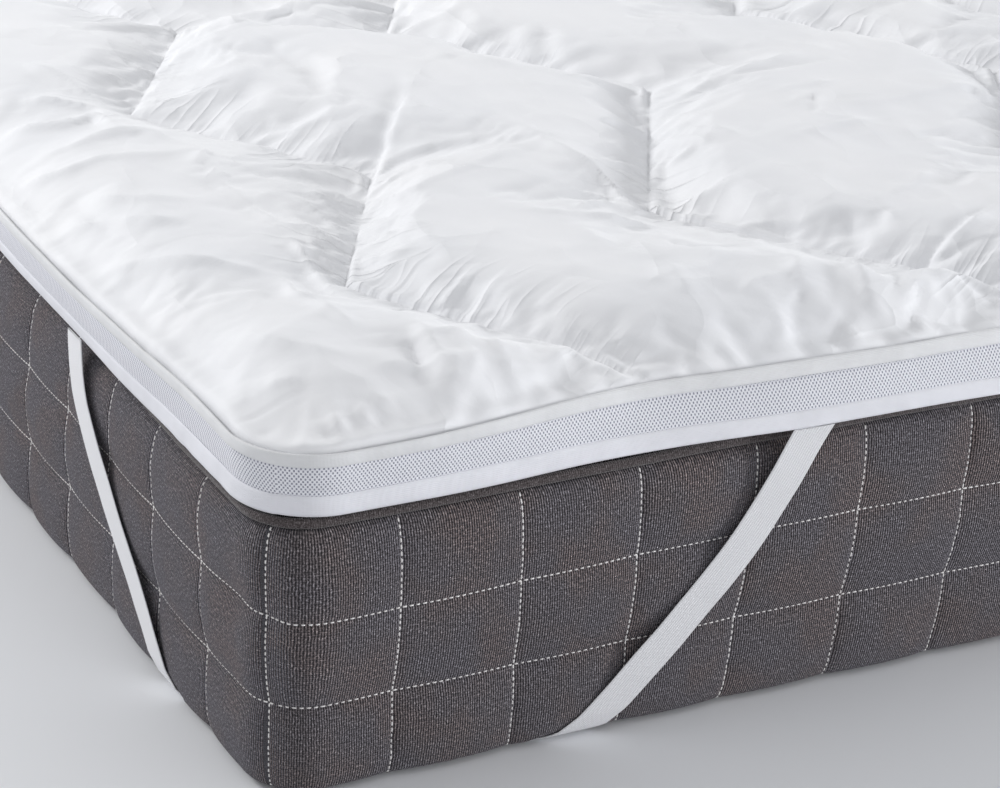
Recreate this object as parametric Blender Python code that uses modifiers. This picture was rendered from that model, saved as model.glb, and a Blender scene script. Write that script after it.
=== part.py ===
"""A quilted mattress topper held on its mattress by an elastic strap at each corner.

Metres, +Z up. The origin is the middle of the mattress's underside, and the foot end faces -Y.
"""

import math
from collections import namedtuple

import bmesh
import bpy
from mathutils import Vector

# Mattress
WIDTH = 1.400
LENGTH = 2.000
MATTRESS_TOP = 0.2285
MATTRESS_CORNER = 0.050
CELLS_ACROSS = 14
CELLS_ALONG = 20
PILLOW = 0.008
EDGE_PULL = 0.008
PIPING_RADIUS = 0.0045
PIPING_INSET = 0.002
PANEL_INSET = 0.004
PANEL_THICKNESS = 0.0025

# Topper
TOPPER_CORNER = 0.062
BORDER_HEIGHT = 0.0505
BINDING_THICKNESS = 0.006
MESH_THICKNESS = 0.004
MESH_RECESS = 0.001
PAD_INSET = 0.0102
CROWN = 0.034
SEAM_WIDTH = 0.055
SEAM_DEPTH = 0.70
RIM_REACH = 0.10
RIM_SHARE = 0.92
SETTLE_REACH = 0.25
PAD_ROWS = 38

# Zigzag quilting: four lines of stitches from the foot end to the head end, as (x, y) turns
QuiltTurn = namedtuple("QuiltTurn", "x y")


def quilt_line(*turns):
    return tuple(QuiltTurn(*turn) for turn in turns)


QUILT_LINES = (
    quilt_line(
        (-0.385, -1.000), (-0.527, -0.750), (-0.392, -0.505), (-0.534, -0.290), (-0.395, -0.050),
        (-0.530, 0.195), (-0.390, 0.440), (-0.530, 0.685), (-0.395, 0.930), (-0.430, 1.000),
    ),
    quilt_line(
        (0.000, -1.000), (-0.218, -0.686), (-0.047, -0.385), (-0.210, -0.140), (-0.070, 0.105),
        (-0.215, 0.350), (-0.070, 0.595), (-0.215, 0.840), (-0.125, 1.000),
    ),
    quilt_line(
        (0.300, -1.000), (0.160, -0.715), (0.305, -0.450), (0.160, -0.200), (0.300, 0.045),
        (0.155, 0.290), (0.300, 0.535), (0.155, 0.780), (0.285, 1.000),
    ),
    quilt_line(
        (0.540, -1.000), (0.410, -0.740), (0.545, -0.490), (0.405, -0.240), (0.545, 0.005),
        (0.405, 0.250), (0.545, 0.500), (0.405, 0.745), (0.535, 1.000),
    ),
)
SEAM_COLUMNS = (-0.060, -0.022, 0.0, 0.022, 0.060)
SIDE_COLUMNS = (0.0, 0.012, 0.035, 0.070)

# Elastic straps
STRAP_WIDTH = 0.030
STRAP_THICKNESS = 0.0014
STRAP_COLUMNS = (-1.0, -0.33, 0.33, 1.0)
GROOVE_WIDTH = 0.038
GROOVE_DEPTH = 0.0045

GAP = 0.0003
PIPING_BASE = 0.2190

# Rings of the mattress's side: height, how far inside the outline, how much it
# bulges in the middle of a cell, and how far the topper's pull draws it in
Level = namedtuple("Level", "height inset bulge pull")
SIDE_LEVELS = (
    Level(0.000, 0.024, 0.0, 0.0),
    Level(0.005, 0.011, 0.0, 0.0),
    Level(0.018, 0.006, 0.3, 0.0),
    Level(0.046, 0.006, 1.0, 0.0),
    Level(0.076, 0.005, 0.0, 0.0),
    Level(0.113, 0.002, 1.0, 0.0),
    Level(0.150, 0.000, 0.0, 0.1),
    Level(0.186, 0.001, 1.0, 0.5),
    Level(PIPING_BASE, 0.003, 0.0, 1.0),
    Level(PIPING_BASE + GAP, 0.011, 0.0, 1.0),
    Level(MATTRESS_TOP, 0.011, 0.0, 1.0),
)
TOP_SEAM = SIDE_LEVELS[8]

# How the topper's border stands on each side, from the foot end round to the left:
# how far its top leans in, how far its foot draws in beside a corner, and how far
# further along
BorderSide = namedtuple("BorderSide", "lean slack waist")
BORDER_SIDES = (
    BorderSide(0.019, 0.008, 0.0),
    BorderSide(0.003, 0.003, 0.0),
    BorderSide(0.019, 0.008, 0.0),
    BorderSide(-0.009, 0.0, 0.0063),
)
CORNER_LEAN = -0.006
CORNER_OUT = -0.002
SIDE_OUT = 0.007
SLACK_PLACE = 0.27
SLACK_REACH = 0.17

# Pieces of the border, by share of its height
Band = namedtuple("Band", "low high rim thickness recess")
BANDS = {
    "bottom_binding": Band(0.02, 0.272, 0.0020, BINDING_THICKNESS, 0.0),
    "mesh_border": Band(0.284, 0.755, 0.0, MESH_THICKNESS, MESH_RECESS),
    "top_binding": Band(0.767, 1.0, 0.0020, BINDING_THICKNESS, 0.0),
}

# The strap's section, from the topper down over the side and under the mattress:
# how far outside the mattress's outline its inner face is, and its height
SectionPoint = namedtuple("SectionPoint", "out height")
STRAP_SECTION = (
    SectionPoint(0.0020, 0.2314),
    SectionPoint(0.0060, 0.2050),
    SectionPoint(0.0072, 0.1860),
    SectionPoint(0.0072, 0.1130),
    SectionPoint(0.0045, 0.0500),
    SectionPoint(0.0020, 0.0220),
    SectionPoint(-0.0030, 0.0085),
    SectionPoint(-0.0095, 0.0034),
    SectionPoint(-0.0200, 0.0020),
    SectionPoint(-0.0300, 0.0018),
)
STRAP_FLAT = -STRAP_SECTION[-1].out

# The strap's middle line with the sides of the mattress folded out flat beside its
# underside. across and along are measured from the corner, and are negative on the sides.
# steps is how finely the leg after each point is cut
StrapPoint = namedtuple("StrapPoint", "across along steps")
STRAP_ROUTE = (
    StrapPoint(0.448, -0.218, 3),
    StrapPoint(0.423, -0.180, 3),
    StrapPoint(0.391, -0.134, 4),
    StrapPoint(0.346, -0.083, 4),
    StrapPoint(0.319, -0.054, 14),
    StrapPoint(0.247, 0.018, 6),
    StrapPoint(0.135, 0.100, 7),
    StrapPoint(0.020, 0.184, 11),
    StrapPoint(-0.051, 0.237, 4),
    StrapPoint(-0.109, 0.296, 3),
    StrapPoint(-0.140, 0.330, 3),
    StrapPoint(-0.180, 0.364, 3),
    StrapPoint(-0.218, 0.380, 0),
)

COLLECTION = "mattress_topper"
CUTTERS = "cutters"


def smooth(value):
    """An even ease from 0 to 1."""
    value = min(max(value, 0.0), 1.0)
    return value * value * (3 - 2 * value)


class Outline:
    """A rounded rectangle. Places along it start in the middle of the corner at -X, -Y
    and run along the foot end first."""

    def __init__(self, radius):
        self.radius = radius
        self.straights = (WIDTH - 2 * radius, LENGTH - 2 * radius) * 2
        self.arc = radius * math.pi / 2
        self.sides = tuple(straight + self.arc for straight in self.straights)
        self.length = sum(self.sides)

    def start(self, side):
        return sum(self.sides[:side])

    def split(self, place):
        """The side that a place is on, and how far along it."""
        place %= self.length
        side = 0
        while side < 3 and place >= self.sides[side]:
            place -= self.sides[side]
            side += 1
        return side, place

    def corner_distance(self, place):
        side, along = self.split(place)
        return min(along, self.sides[side] - along)

    def at(self, place):
        """The point there, and the direction that faces out."""
        side, along = self.split(place)
        half = self.arc / 2
        straight = self.straights[side]
        past = min(along - half, 0.0) + max(along - half - straight, 0.0)
        turn = past / self.radius
        run = min(max(along - half, 0.0), straight) - straight / 2
        normal = Vector((math.sin(turn), -math.cos(turn)))
        centre = Vector((run, -self.distance(side) + self.radius))
        angle = side * math.pi / 2
        cos, sin = round(math.cos(angle)), round(math.sin(angle))

        def turned(vector):
            return Vector((vector.x * cos - vector.y * sin, vector.x * sin + vector.y * cos))

        return turned(centre + normal * self.radius), turned(normal)

    @staticmethod
    def distance(side):
        return (LENGTH, WIDTH)[side % 2] / 2

    def locate(self, point):
        """The place nearest to a point, and how far inside the outline the point is."""
        across, along = WIDTH / 2 - self.radius, LENGTH / 2 - self.radius
        if abs(point.x) > across and abs(point.y) > along:
            centre = Vector((math.copysign(across, point.x), math.copysign(along, point.y)))
            inside = self.radius - (point - centre).length
            corner = {(-1, -1): 0, (1, -1): 1, (1, 1): 2, (-1, 1): 3}[
                (int(math.copysign(1, point.x)), int(math.copysign(1, point.y)))
            ]
            turn = math.atan2(point.y - centre.y, point.x - centre.x)
            middle = -3 * math.pi / 4 + corner * math.pi / 2
            turn = (turn - middle + math.pi) % (2 * math.pi) - math.pi
            return self.start(corner) + turn * self.radius, inside
        depths = (point.y + LENGTH / 2, WIDTH / 2 - point.x, LENGTH / 2 - point.y, point.x + WIDTH / 2)
        side = depths.index(min(depths))
        run = (point.x, point.y, -point.x, -point.y)[side]
        return self.start(side) + self.sides[side] / 2 + run, depths[side]


MATTRESS_LINE = Outline(MATTRESS_CORNER)
TOPPER_LINE = Outline(TOPPER_CORNER)


def ripple(place, length):
    """A slow, uneven wave round an outline, from about -1 to 1."""
    turn = 2 * math.pi * place / length
    return 0.55 * math.sin(13 * turn + 0.6) + 0.3 * math.sin(29 * turn + 2.1) + 0.15 * math.sin(47 * turn)


def edge_inset(level, place):
    """How far inside the mattress's outline a seam is."""
    away = smooth((MATTRESS_LINE.corner_distance(place) - 0.10) / 0.35)
    return level.inset + level.pull * EDGE_PULL * away


def border_point(place, share):
    """How far outside the topper's outline its border is, and its height."""
    side, along = TOPPER_LINE.split(place)
    corner = TOPPER_LINE.corner_distance(place)
    kind = BORDER_SIDES[side]
    away = smooth((corner - 0.10) / 0.25)
    foot = CORNER_OUT + (SIDE_OUT - CORNER_OUT) * smooth((corner - 0.05) / 0.5)
    foot -= kind.slack * smooth(1 - abs(corner - SLACK_PLACE) / SLACK_REACH)
    foot -= kind.waist * smooth((corner - 0.25) / 0.30)
    foot += 0.0012 * ripple(place, TOPPER_LINE.length)
    lean = CORNER_LEAN + (kind.lean - CORNER_LEAN) * away
    lean += 0.0015 * ripple(place + 0.3, TOPPER_LINE.length)
    height = BORDER_HEIGHT - 0.0015 * away * (1 + ripple(place + 0.8, TOPPER_LINE.length))
    height -= 0.002 * (1 - away)
    base = MATTRESS_TOP + PANEL_THICKNESS + 2 * GAP
    return foot - lean * share, base + height * share


def placed(line, place, out, height):
    point, normal = line.at(place)
    point = point + normal * out
    return Vector((point.x, point.y, height))


def material(name, colour, roughness):
    made = bpy.data.materials.new(name)
    made.use_nodes = True
    shader = made.node_tree.nodes["Principled BSDF"]
    shader.inputs["Base Color"].default_value = (*colour, 1.0)
    shader.inputs["Roughness"].default_value = roughness
    shader.inputs["Metallic"].default_value = 0.0
    return made


def collection(name):
    made = bpy.data.collections.new(name)
    bpy.context.scene.collection.children.link(made)
    return made


def mesh_object(name, mesh, finish, home=COLLECTION):
    data = bpy.data.meshes.new(name)
    mesh.to_mesh(data)
    mesh.free()
    data.shade_smooth()
    data.set_sharp_from_angle(angle=math.radians(40))
    made = bpy.data.objects.new(name, data)
    if finish:
        data.materials.append(finish)
    bpy.data.collections[home].objects.link(made)
    return made


def loft(rows, closed_rows=True, cap=True):
    """A mesh through rows of points. Closed rows are rings, whose two ends can be capped."""
    mesh = bmesh.new()
    rings = [[mesh.verts.new(point) for point in row] for row in rows]
    count = len(rings[0])
    last = count if closed_rows else count - 1
    for low, high in zip(rings, rings[1:]):
        for i in range(last):
            j = (i + 1) % count
            mesh.faces.new((low[i], low[j], high[j], high[i]))
    if closed_rows and cap:
        mesh.faces.new(reversed(rings[0]))
        mesh.faces.new(rings[-1])
    return mesh


def thicken(piece, thickness, offset):
    """Solidify. An offset of -1 grows inward, and 1 outward."""
    shell = piece.modifiers.new("Solidify", "SOLIDIFY")
    shell.thickness = thickness
    shell.offset = offset
    return piece


def cell_places():
    """Places round the mattress at each stitched line and mid-cell, closer at the corners."""
    places = []
    for side, cells in enumerate((CELLS_ACROSS, CELLS_ALONG) * 2):
        for cell in range(cells):
            at_corner = cell in (0, cells - 1)
            parts = (0.0, 0.25, 0.5, 0.75) if at_corner else (0.0, 0.5)
            for part in parts:
                place = MATTRESS_LINE.start(side) + MATTRESS_LINE.sides[side] * (cell + part) / cells
                places.append((place, math.sin(math.pi * part)))
    return places


def make_mattress(cloth):
    """The filled body, quilted in cells round its side, dented underneath by the straps."""
    places = cell_places()
    rows = [
        [
            placed(
                MATTRESS_LINE,
                place,
                PILLOW * level.bulge * bulge - edge_inset(level, place),
                level.height,
            )
            for place, bulge in places
        ]
        for level in SIDE_LEVELS
    ]
    body = mesh_object("mattress", loft(rows), cloth)
    for x_side in (-1, 1):
        for y_side in (-1, 1):
            cut = body.modifiers.new("Strap groove", "BOOLEAN")
            cut.operation = "DIFFERENCE"
            cut.object = make_groove_cutter(x_side, y_side)
    return body


def make_groove_cutter(x_side, y_side):
    """A bar along the straight run of a strap under a corner."""
    run = [corner_to_world(point, x_side, y_side) for point in (STRAP_ROUTE[5], STRAP_ROUTE[7])]
    middle = (run[0] + run[1]) / 2
    direction = run[1] - run[0]
    mesh = bmesh.new()
    bmesh.ops.create_cube(mesh, size=1.0)
    length = direction.length + 0.11
    bmesh.ops.scale(mesh, vec=(length, GROOVE_WIDTH, 2 * GROOVE_DEPTH), verts=mesh.verts)
    cutter = mesh_object(f"groove_{x_side}_{y_side}", mesh, None, CUTTERS)
    cutter.location = (middle.x, middle.y, 0.0)
    cutter.rotation_euler.z = math.atan2(direction.y, direction.x)
    cutter.hide_render = True
    cutter.display_type = "WIRE"
    return cutter


def corner_to_world(point, x_side, y_side):
    return Vector((x_side * (WIDTH / 2 - point.across), y_side * (LENGTH / 2 - point.along)))


def ring_curve(name, places, finish):
    """A closed curve object through world points."""
    data = bpy.data.curves.new(name, "CURVE")
    data.dimensions = "3D"
    spline = data.splines.new("POLY")
    spline.points.add(len(places) - 1)
    for point, place in zip(spline.points, places):
        point.co = (*place, 1.0)
    spline.use_cyclic_u = True
    data.materials.append(finish)
    made = bpy.data.objects.new(name, data)
    bpy.data.collections[COLLECTION].objects.link(made)
    return made


def ring_places(line, across, along, corner):
    """Places round an outline, with more of them in the corners."""
    places = []
    for side, count in enumerate((across, along) * 2):
        start, half = line.start(side), line.arc / 2
        places += [start + half * i / corner for i in range(corner)]
        places += [start + half + line.straights[side] * i / count for i in range(count)]
        places += [start + half + line.straights[side] + half * i / corner for i in range(corner)]
    return places


def make_piping(cloth):
    """The round welt along the mattress's top edge."""
    height = PIPING_BASE + 2 * GAP + PIPING_RADIUS
    points = [
        placed(MATTRESS_LINE, place, -edge_inset(TOP_SEAM, place) - PIPING_INSET, height)
        for place in ring_places(MATTRESS_LINE, 14, 20, 4)
    ]
    piping = ring_curve("mattress_piping", points, cloth)
    piping.data.bevel_depth = PIPING_RADIUS
    piping.data.bevel_resolution = 1
    return piping


def make_panel(cloth):
    """The knitted cloth on the mattress's top face."""
    points = [
        placed(MATTRESS_LINE, place, -edge_inset(TOP_SEAM, place) - PANEL_INSET, 0.0)
        for place in ring_places(MATTRESS_LINE, 14, 20, 4)
    ]
    panel = ring_curve("mattress_panel", points, cloth)
    panel.data.dimensions = "2D"
    panel.data.fill_mode = "BOTH"
    panel.data.extrude = PANEL_THICKNESS / 2
    panel.location.z = MATTRESS_TOP + GAP + PANEL_THICKNESS / 2
    return panel


def make_band(name, band, cloth):
    """A strip round the topper's border: a shell whose face bows out between its edges."""
    places = ring_places(TOPPER_LINE, 17, 24, 4)
    rows = []
    for share, inset in ((0.0, band.rim), (0.5, 0.0), (1.0, band.rim)):
        height = band.low + (band.high - band.low) * share
        row = []
        for place in places:
            out, level = border_point(place, height)
            row.append(placed(TOPPER_LINE, place, out - inset - band.recess, level))
        rows.append(row)
    return thicken(mesh_object(name, loft(rows, cap=False), cloth), band.thickness, -1)


def quilt_x(line, y):
    """Where a quilting line crosses a row."""
    for here, after in zip(line, line[1:]):
        if y <= after.y:
            return here.x + (after.x - here.x) * (y - here.y) / (after.y - here.y)
    return line[-1].x


def pad_row(y):
    """The columns of the pad's grid in a row, as (x, how far open from the seam)."""
    crossings = [quilt_x(line, y) for line in QUILT_LINES]
    columns = [(-WIDTH / 2 + inset, 1.0) for inset in SIDE_COLUMNS]
    for i, crossing in enumerate(crossings):
        if i:
            columns.append(((crossings[i - 1] + crossing) / 2, 1.0))
        for offset in SEAM_COLUMNS:
            columns.append((crossing + offset, min(abs(offset) / SEAM_WIDTH, 1.0)))
    columns += [(WIDTH / 2 - inset, 1.0) for inset in reversed(SIDE_COLUMNS)]
    return columns


def pad_rows():
    half = LENGTH / 2
    inner = SIDE_COLUMNS[-1]
    spread = LENGTH - 2 * inner
    middle = [-half + inner + spread * i / PAD_ROWS for i in range(1, PAD_ROWS)]
    return (
        [-half + inset for inset in SIDE_COLUMNS]
        + middle
        + [half - inset for inset in reversed(SIDE_COLUMNS)]
    )


def puffed(value):
    """The rise of filled cloth away from a seam, steep at first, then level."""
    value = min(max(value, 0.0), 1.0)
    return 1 - (1 - value) ** 2


def rounded(x, y):
    """Carries a point of the square grid to the topper's outline with its round corners."""
    across = abs(x) - (WIDTH / 2 - TOPPER_CORNER)
    along = abs(y) - (LENGTH / 2 - TOPPER_CORNER)
    if across <= 0 or along <= 0:
        return Vector((x, y))
    a, b = across / TOPPER_CORNER, along / TOPPER_CORNER
    return Vector(
        (
            math.copysign(WIDTH / 2 + TOPPER_CORNER * (a * math.sqrt(1 - b * b / 2) - 1), x),
            math.copysign(LENGTH / 2 + TOPPER_CORNER * (b * math.sqrt(1 - a * a / 2) - 1), y),
        )
    )


def settled(point):
    """Moves a point of the pad in beside a border that leans in."""
    moved = point.copy()
    runs = (point.x, point.y, -point.x, -point.y)
    depths = (point.y + LENGTH / 2, WIDTH / 2 - point.x, LENGTH / 2 - point.y, point.x + WIDTH / 2)
    facing = (Vector((0, -1)), Vector((1, 0)), Vector((0, 1)), Vector((-1, 0)))
    for side, (run, depth, normal) in enumerate(zip(runs, depths, facing)):
        place = TOPPER_LINE.start(side) + TOPPER_LINE.sides[side] / 2 + run
        out, _ = border_point(place, RIM_SHARE)
        moved += normal * (out - PAD_INSET) * (1 - smooth(depth / SETTLE_REACH))
    return moved


def make_pad(cloth):
    """The filled pad: a crowned top drawn down along the quilting, and a flat underside."""
    rows = pad_rows()
    mesh = bmesh.new()
    grid = []
    for j, y in enumerate(rows):
        points = []
        columns = pad_row(y)
        for i, (x, open_seam) in enumerate(columns):
            flat = rounded(x, y)
            if i in (0, len(columns) - 1) or j in (0, len(rows) - 1):
                points.append(mesh.verts.new(rim_point(flat, RIM_SHARE)))
                continue
            rise = puffed((WIDTH / 2 - abs(x)) / RIM_REACH) * puffed((LENGTH / 2 - abs(y)) / RIM_REACH)
            rise *= 1 - SEAM_DEPTH * (1 - puffed(open_seam))
            spot = settled(flat)
            rim = border_point(0.0, RIM_SHARE)[1]
            points.append(mesh.verts.new((spot.x, spot.y, rim + CROWN * rise)))
        grid.append(points)
    for low, high in zip(grid, grid[1:]):
        for i in range(len(low) - 1):
            mesh.faces.new((low[i], low[i + 1], high[i + 1], high[i]))
    edge = grid[0] + [row[-1] for row in grid[1:]] + grid[-1][-2::-1] + [row[0] for row in grid[-2:0:-1]]
    upper = edge
    for share in (0.5, 0.0):
        lower = [mesh.verts.new(rim_point(vert.co.xy, share)) for vert in edge]
        for i, _ in enumerate(edge):
            j = (i + 1) % len(edge)
            mesh.faces.new((lower[i], lower[j], upper[j], upper[i]))
        upper = lower
    mesh.faces.new(reversed(upper))
    return mesh_object("topper_pad", mesh, cloth)


def rim_point(flat, share):
    """The pad's edge at the place on the border nearest to a point."""
    place, _ = TOPPER_LINE.locate(flat)
    out, height = border_point(place, share)
    return placed(TOPPER_LINE, place, out - PAD_INSET, height)


def section_lengths():
    """The distance along the strap's section, up from its flat end, to each of its points."""
    upward = STRAP_SECTION[::-1]
    lengths = [0.0]
    for here, after in zip(upward, upward[1:]):
        lengths.append(lengths[-1] + math.hypot(after.out - here.out, after.height - here.height))
    return upward, lengths


def on_section(beyond):
    """How far outside the outline, and how high, the strap is a distance past the edge."""
    upward, lengths = section_lengths()
    travel = beyond + STRAP_FLAT
    if travel <= 0:
        return -STRAP_FLAT + travel, upward[0].height
    travel = min(travel, lengths[-1])
    for i, end in enumerate(lengths[1:]):
        if travel <= end:
            part = (travel - lengths[i]) / (end - lengths[i])
            here, after = upward[i], upward[i + 1]
            return (
                here.out + (after.out - here.out) * part,
                here.height + (after.height - here.height) * part,
            )
    return upward[-1].out, upward[-1].height


def folded(across, along):
    """Carries a point of the flattened corner to where it lies on the mattress."""
    if along < STRAP_FLAT and along < across:
        out, height = on_section(-along)
        return Vector((across, -out, height))
    out, height = on_section(-across)
    return Vector((-out, along, height))


def route_points():
    """Points along the strap's middle line, and its direction there, on a smooth curve."""
    nodes = [Vector((point.across, point.along)) for point in STRAP_ROUTE]
    nodes = [2 * nodes[0] - nodes[1], *nodes, 2 * nodes[-1] - nodes[-2]]
    stops = [(leg, step / point.steps) for leg, point in enumerate(STRAP_ROUTE) for step in range(point.steps)]
    stops.append((len(STRAP_ROUTE) - 2, 1.0))
    found = []
    for leg, t in stops:
        a, b, c, d = nodes[leg : leg + 4]
        point = 0.5 * (2 * b + (c - a) * t + (2 * a - 5 * b + 4 * c - d) * t**2 + (3 * b - a - 3 * c + d) * t**3)
        slope = 0.5 * ((c - a) + 2 * (2 * a - 5 * b + 4 * c - d) * t + 3 * (3 * b - a - 3 * c + d) * t**2)
        found.append((point, slope.normalized()))
    return found


def make_strap(name, x_side, y_side, cloth):
    """An elastic band from under the topper's binding, across the corner's underside."""
    rows = []
    for point, slope in route_points():
        reach = Vector((-slope.y, slope.x)) * STRAP_WIDTH / 2
        row = []
        for column in STRAP_COLUMNS:
            spot = point + reach * column
            lying = folded(spot.x, spot.y)
            row.append((x_side * (WIDTH / 2 - lying.x), y_side * (LENGTH / 2 - lying.y), lying.z))
        rows.append(row if x_side * y_side > 0 else row[::-1])
    strap = mesh_object(name, loft(rows, closed_rows=False), cloth)
    return thicken(strap, STRAP_THICKNESS, 1)


def main():
    for thing in list(bpy.data.objects):
        bpy.data.objects.remove(thing)
    collection(COLLECTION)
    collection(CUTTERS).hide_render = True
    knit = material("mattress_knit", (0.075, 0.066, 0.064), 0.9)
    welt = material("welt_knit", (0.070, 0.062, 0.060), 0.9)
    white_knit = material("panel_knit", (0.80, 0.76, 0.75), 0.9)
    cotton = material("pad_cotton", (0.88, 0.89, 0.92), 0.7)
    lower_tape = material("lower_tape", (0.84, 0.86, 0.92), 0.7)
    upper_tape = material("upper_tape", (0.88, 0.89, 0.92), 0.7)
    spacer = material("spacer_mesh", (0.66, 0.68, 0.75), 0.8)
    make_mattress(knit)
    make_piping(welt)
    make_panel(white_knit)
    make_pad(cotton)
    for (name, band), cloth in zip(BANDS.items(), (lower_tape, spacer, upper_tape)):
        make_band(name, band, cloth)
    for along, y_side in (("foot", -1), ("head", 1)):
        for across, x_side in (("left", -1), ("right", 1)):
            elastic = material(f"elastic_{along}_{across}", (0.86, 0.87, 0.90), 0.75)
            make_strap(f"strap_{along}_{across}", x_side, y_side, elastic)


main()
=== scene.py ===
"""A quilted mattress topper on a mattress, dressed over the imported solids."""

import math
from collections import namedtuple

import bpy
import numpy as np
from mathutils import Matrix, Vector


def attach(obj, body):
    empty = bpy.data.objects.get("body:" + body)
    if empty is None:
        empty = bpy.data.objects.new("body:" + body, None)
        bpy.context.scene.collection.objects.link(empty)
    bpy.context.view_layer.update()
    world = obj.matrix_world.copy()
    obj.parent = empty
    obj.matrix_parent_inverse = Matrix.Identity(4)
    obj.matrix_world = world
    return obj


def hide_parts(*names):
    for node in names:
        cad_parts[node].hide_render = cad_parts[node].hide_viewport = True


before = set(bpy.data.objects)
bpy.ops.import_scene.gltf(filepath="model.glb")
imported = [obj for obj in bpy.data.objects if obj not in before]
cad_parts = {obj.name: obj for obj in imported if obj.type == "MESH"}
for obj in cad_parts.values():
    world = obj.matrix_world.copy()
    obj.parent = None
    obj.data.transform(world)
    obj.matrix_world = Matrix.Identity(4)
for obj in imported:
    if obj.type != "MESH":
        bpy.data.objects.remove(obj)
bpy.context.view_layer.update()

# The photograph's frame, and the camera, which stands off the foot end, to the left
PHOTO_WIDTH, PHOTO_HEIGHT = 1000, 788
CAMERA_PLACE = (-1.4346, -2.7436, 1.1499)
CAMERA_RIGHT = (0.89136122, -0.4519787, 0.03450272)
CAMERA_UP = (0.15064706, 0.36716368, 0.91787597)
CAMERA_BACK = (-0.42752853, -0.81296131, 0.39536472)
CAMERA_LENS = 107.88
CAMERA_SENSOR = 36.0

# Sizes shared with the solids
WIDTH, LENGTH = 1.400, 2.000
MATTRESS_TOP = 0.2285
MATTRESS_CORNER = 0.050
CELLS_ACROSS, CELLS_ALONG = 14, 20
PILLOW = 0.0078
EDGE_PULL = 0.008
TOPPER_BASE = 0.2316
TOPPER_CORNER = 0.062
BORDER_HEIGHT = 0.0505
RIM_SHARE = 0.94
RIM_INSET = 0.0066
CROWN = 0.034
SEAM_WIDTH = 0.090
SEAM_DEPTH = 0.58
RIM_REACH = 0.10
SETTLE_REACH = 0.25
STRAP_WIDTH = 0.030
STRAP_THICKNESS = 0.0013

# The welt is a little thinner and higher than its solid
PIPING_HEIGHT = 0.2232
PIPING_RADIUS = 0.0038

BorderSide = namedtuple("BorderSide", "lean slack waist")
BORDER_SIDES = (
    BorderSide(0.019, 0.008, 0.0),
    BorderSide(0.003, 0.003, 0.0),
    BorderSide(0.019, 0.008, 0.0),
    BorderSide(-0.009, 0.0, 0.0063),
)
CORNER_LEAN = -0.006
CORNER_OUT = -0.002
SIDE_OUT = 0.007
SLACK_PLACE = 0.27
SLACK_REACH = 0.17


def smooth(value):
    value = np.clip(value, 0.0, 1.0)
    return value * value * (3 - 2 * value)


def puffed(value):
    value = np.clip(value, 0.0, 1.0)
    return 1 - (1 - value) ** 2


# Multipliers that mix a place's whole numbers with a seed
MIX_X, MIX_Y, MIX_SEED, MIX_AGAIN = 374761393, 668265263, 974711, 1274126177
ALL_BITS = 0xFFFFFFFF


def lattice(ix, iy, seed):
    """A repeatable value from 0 to 1 for each whole-numbered pair."""
    mixed = (ix.astype(np.int64) * MIX_X + iy.astype(np.int64) * MIX_Y + seed * MIX_SEED) & ALL_BITS
    mixed = ((mixed ^ (mixed >> 13)) * MIX_AGAIN) & ALL_BITS
    return ((mixed ^ (mixed >> 16)) & 0xFFFF) / 65535.0


def noise(x, y, seed=0):
    """Smooth noise from -1 to 1, with features one unit across."""
    x, y = np.broadcast_arrays(np.asarray(x, float), np.asarray(y, float))
    ix, iy = np.floor(x), np.floor(y)
    fx, fy = x - ix, y - iy
    fx, fy = fx**3 * (fx * (6 * fx - 15) + 10), fy**3 * (fy * (6 * fy - 15) + 10)
    corner = [[lattice(ix + a, iy + b, seed) for b in (0, 1)] for a in (0, 1)]
    low = corner[0][0] * (1 - fy) + corner[0][1] * fy
    high = corner[1][0] * (1 - fy) + corner[1][1] * fy
    return 2 * (low * (1 - fx) + high * fx) - 1


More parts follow.
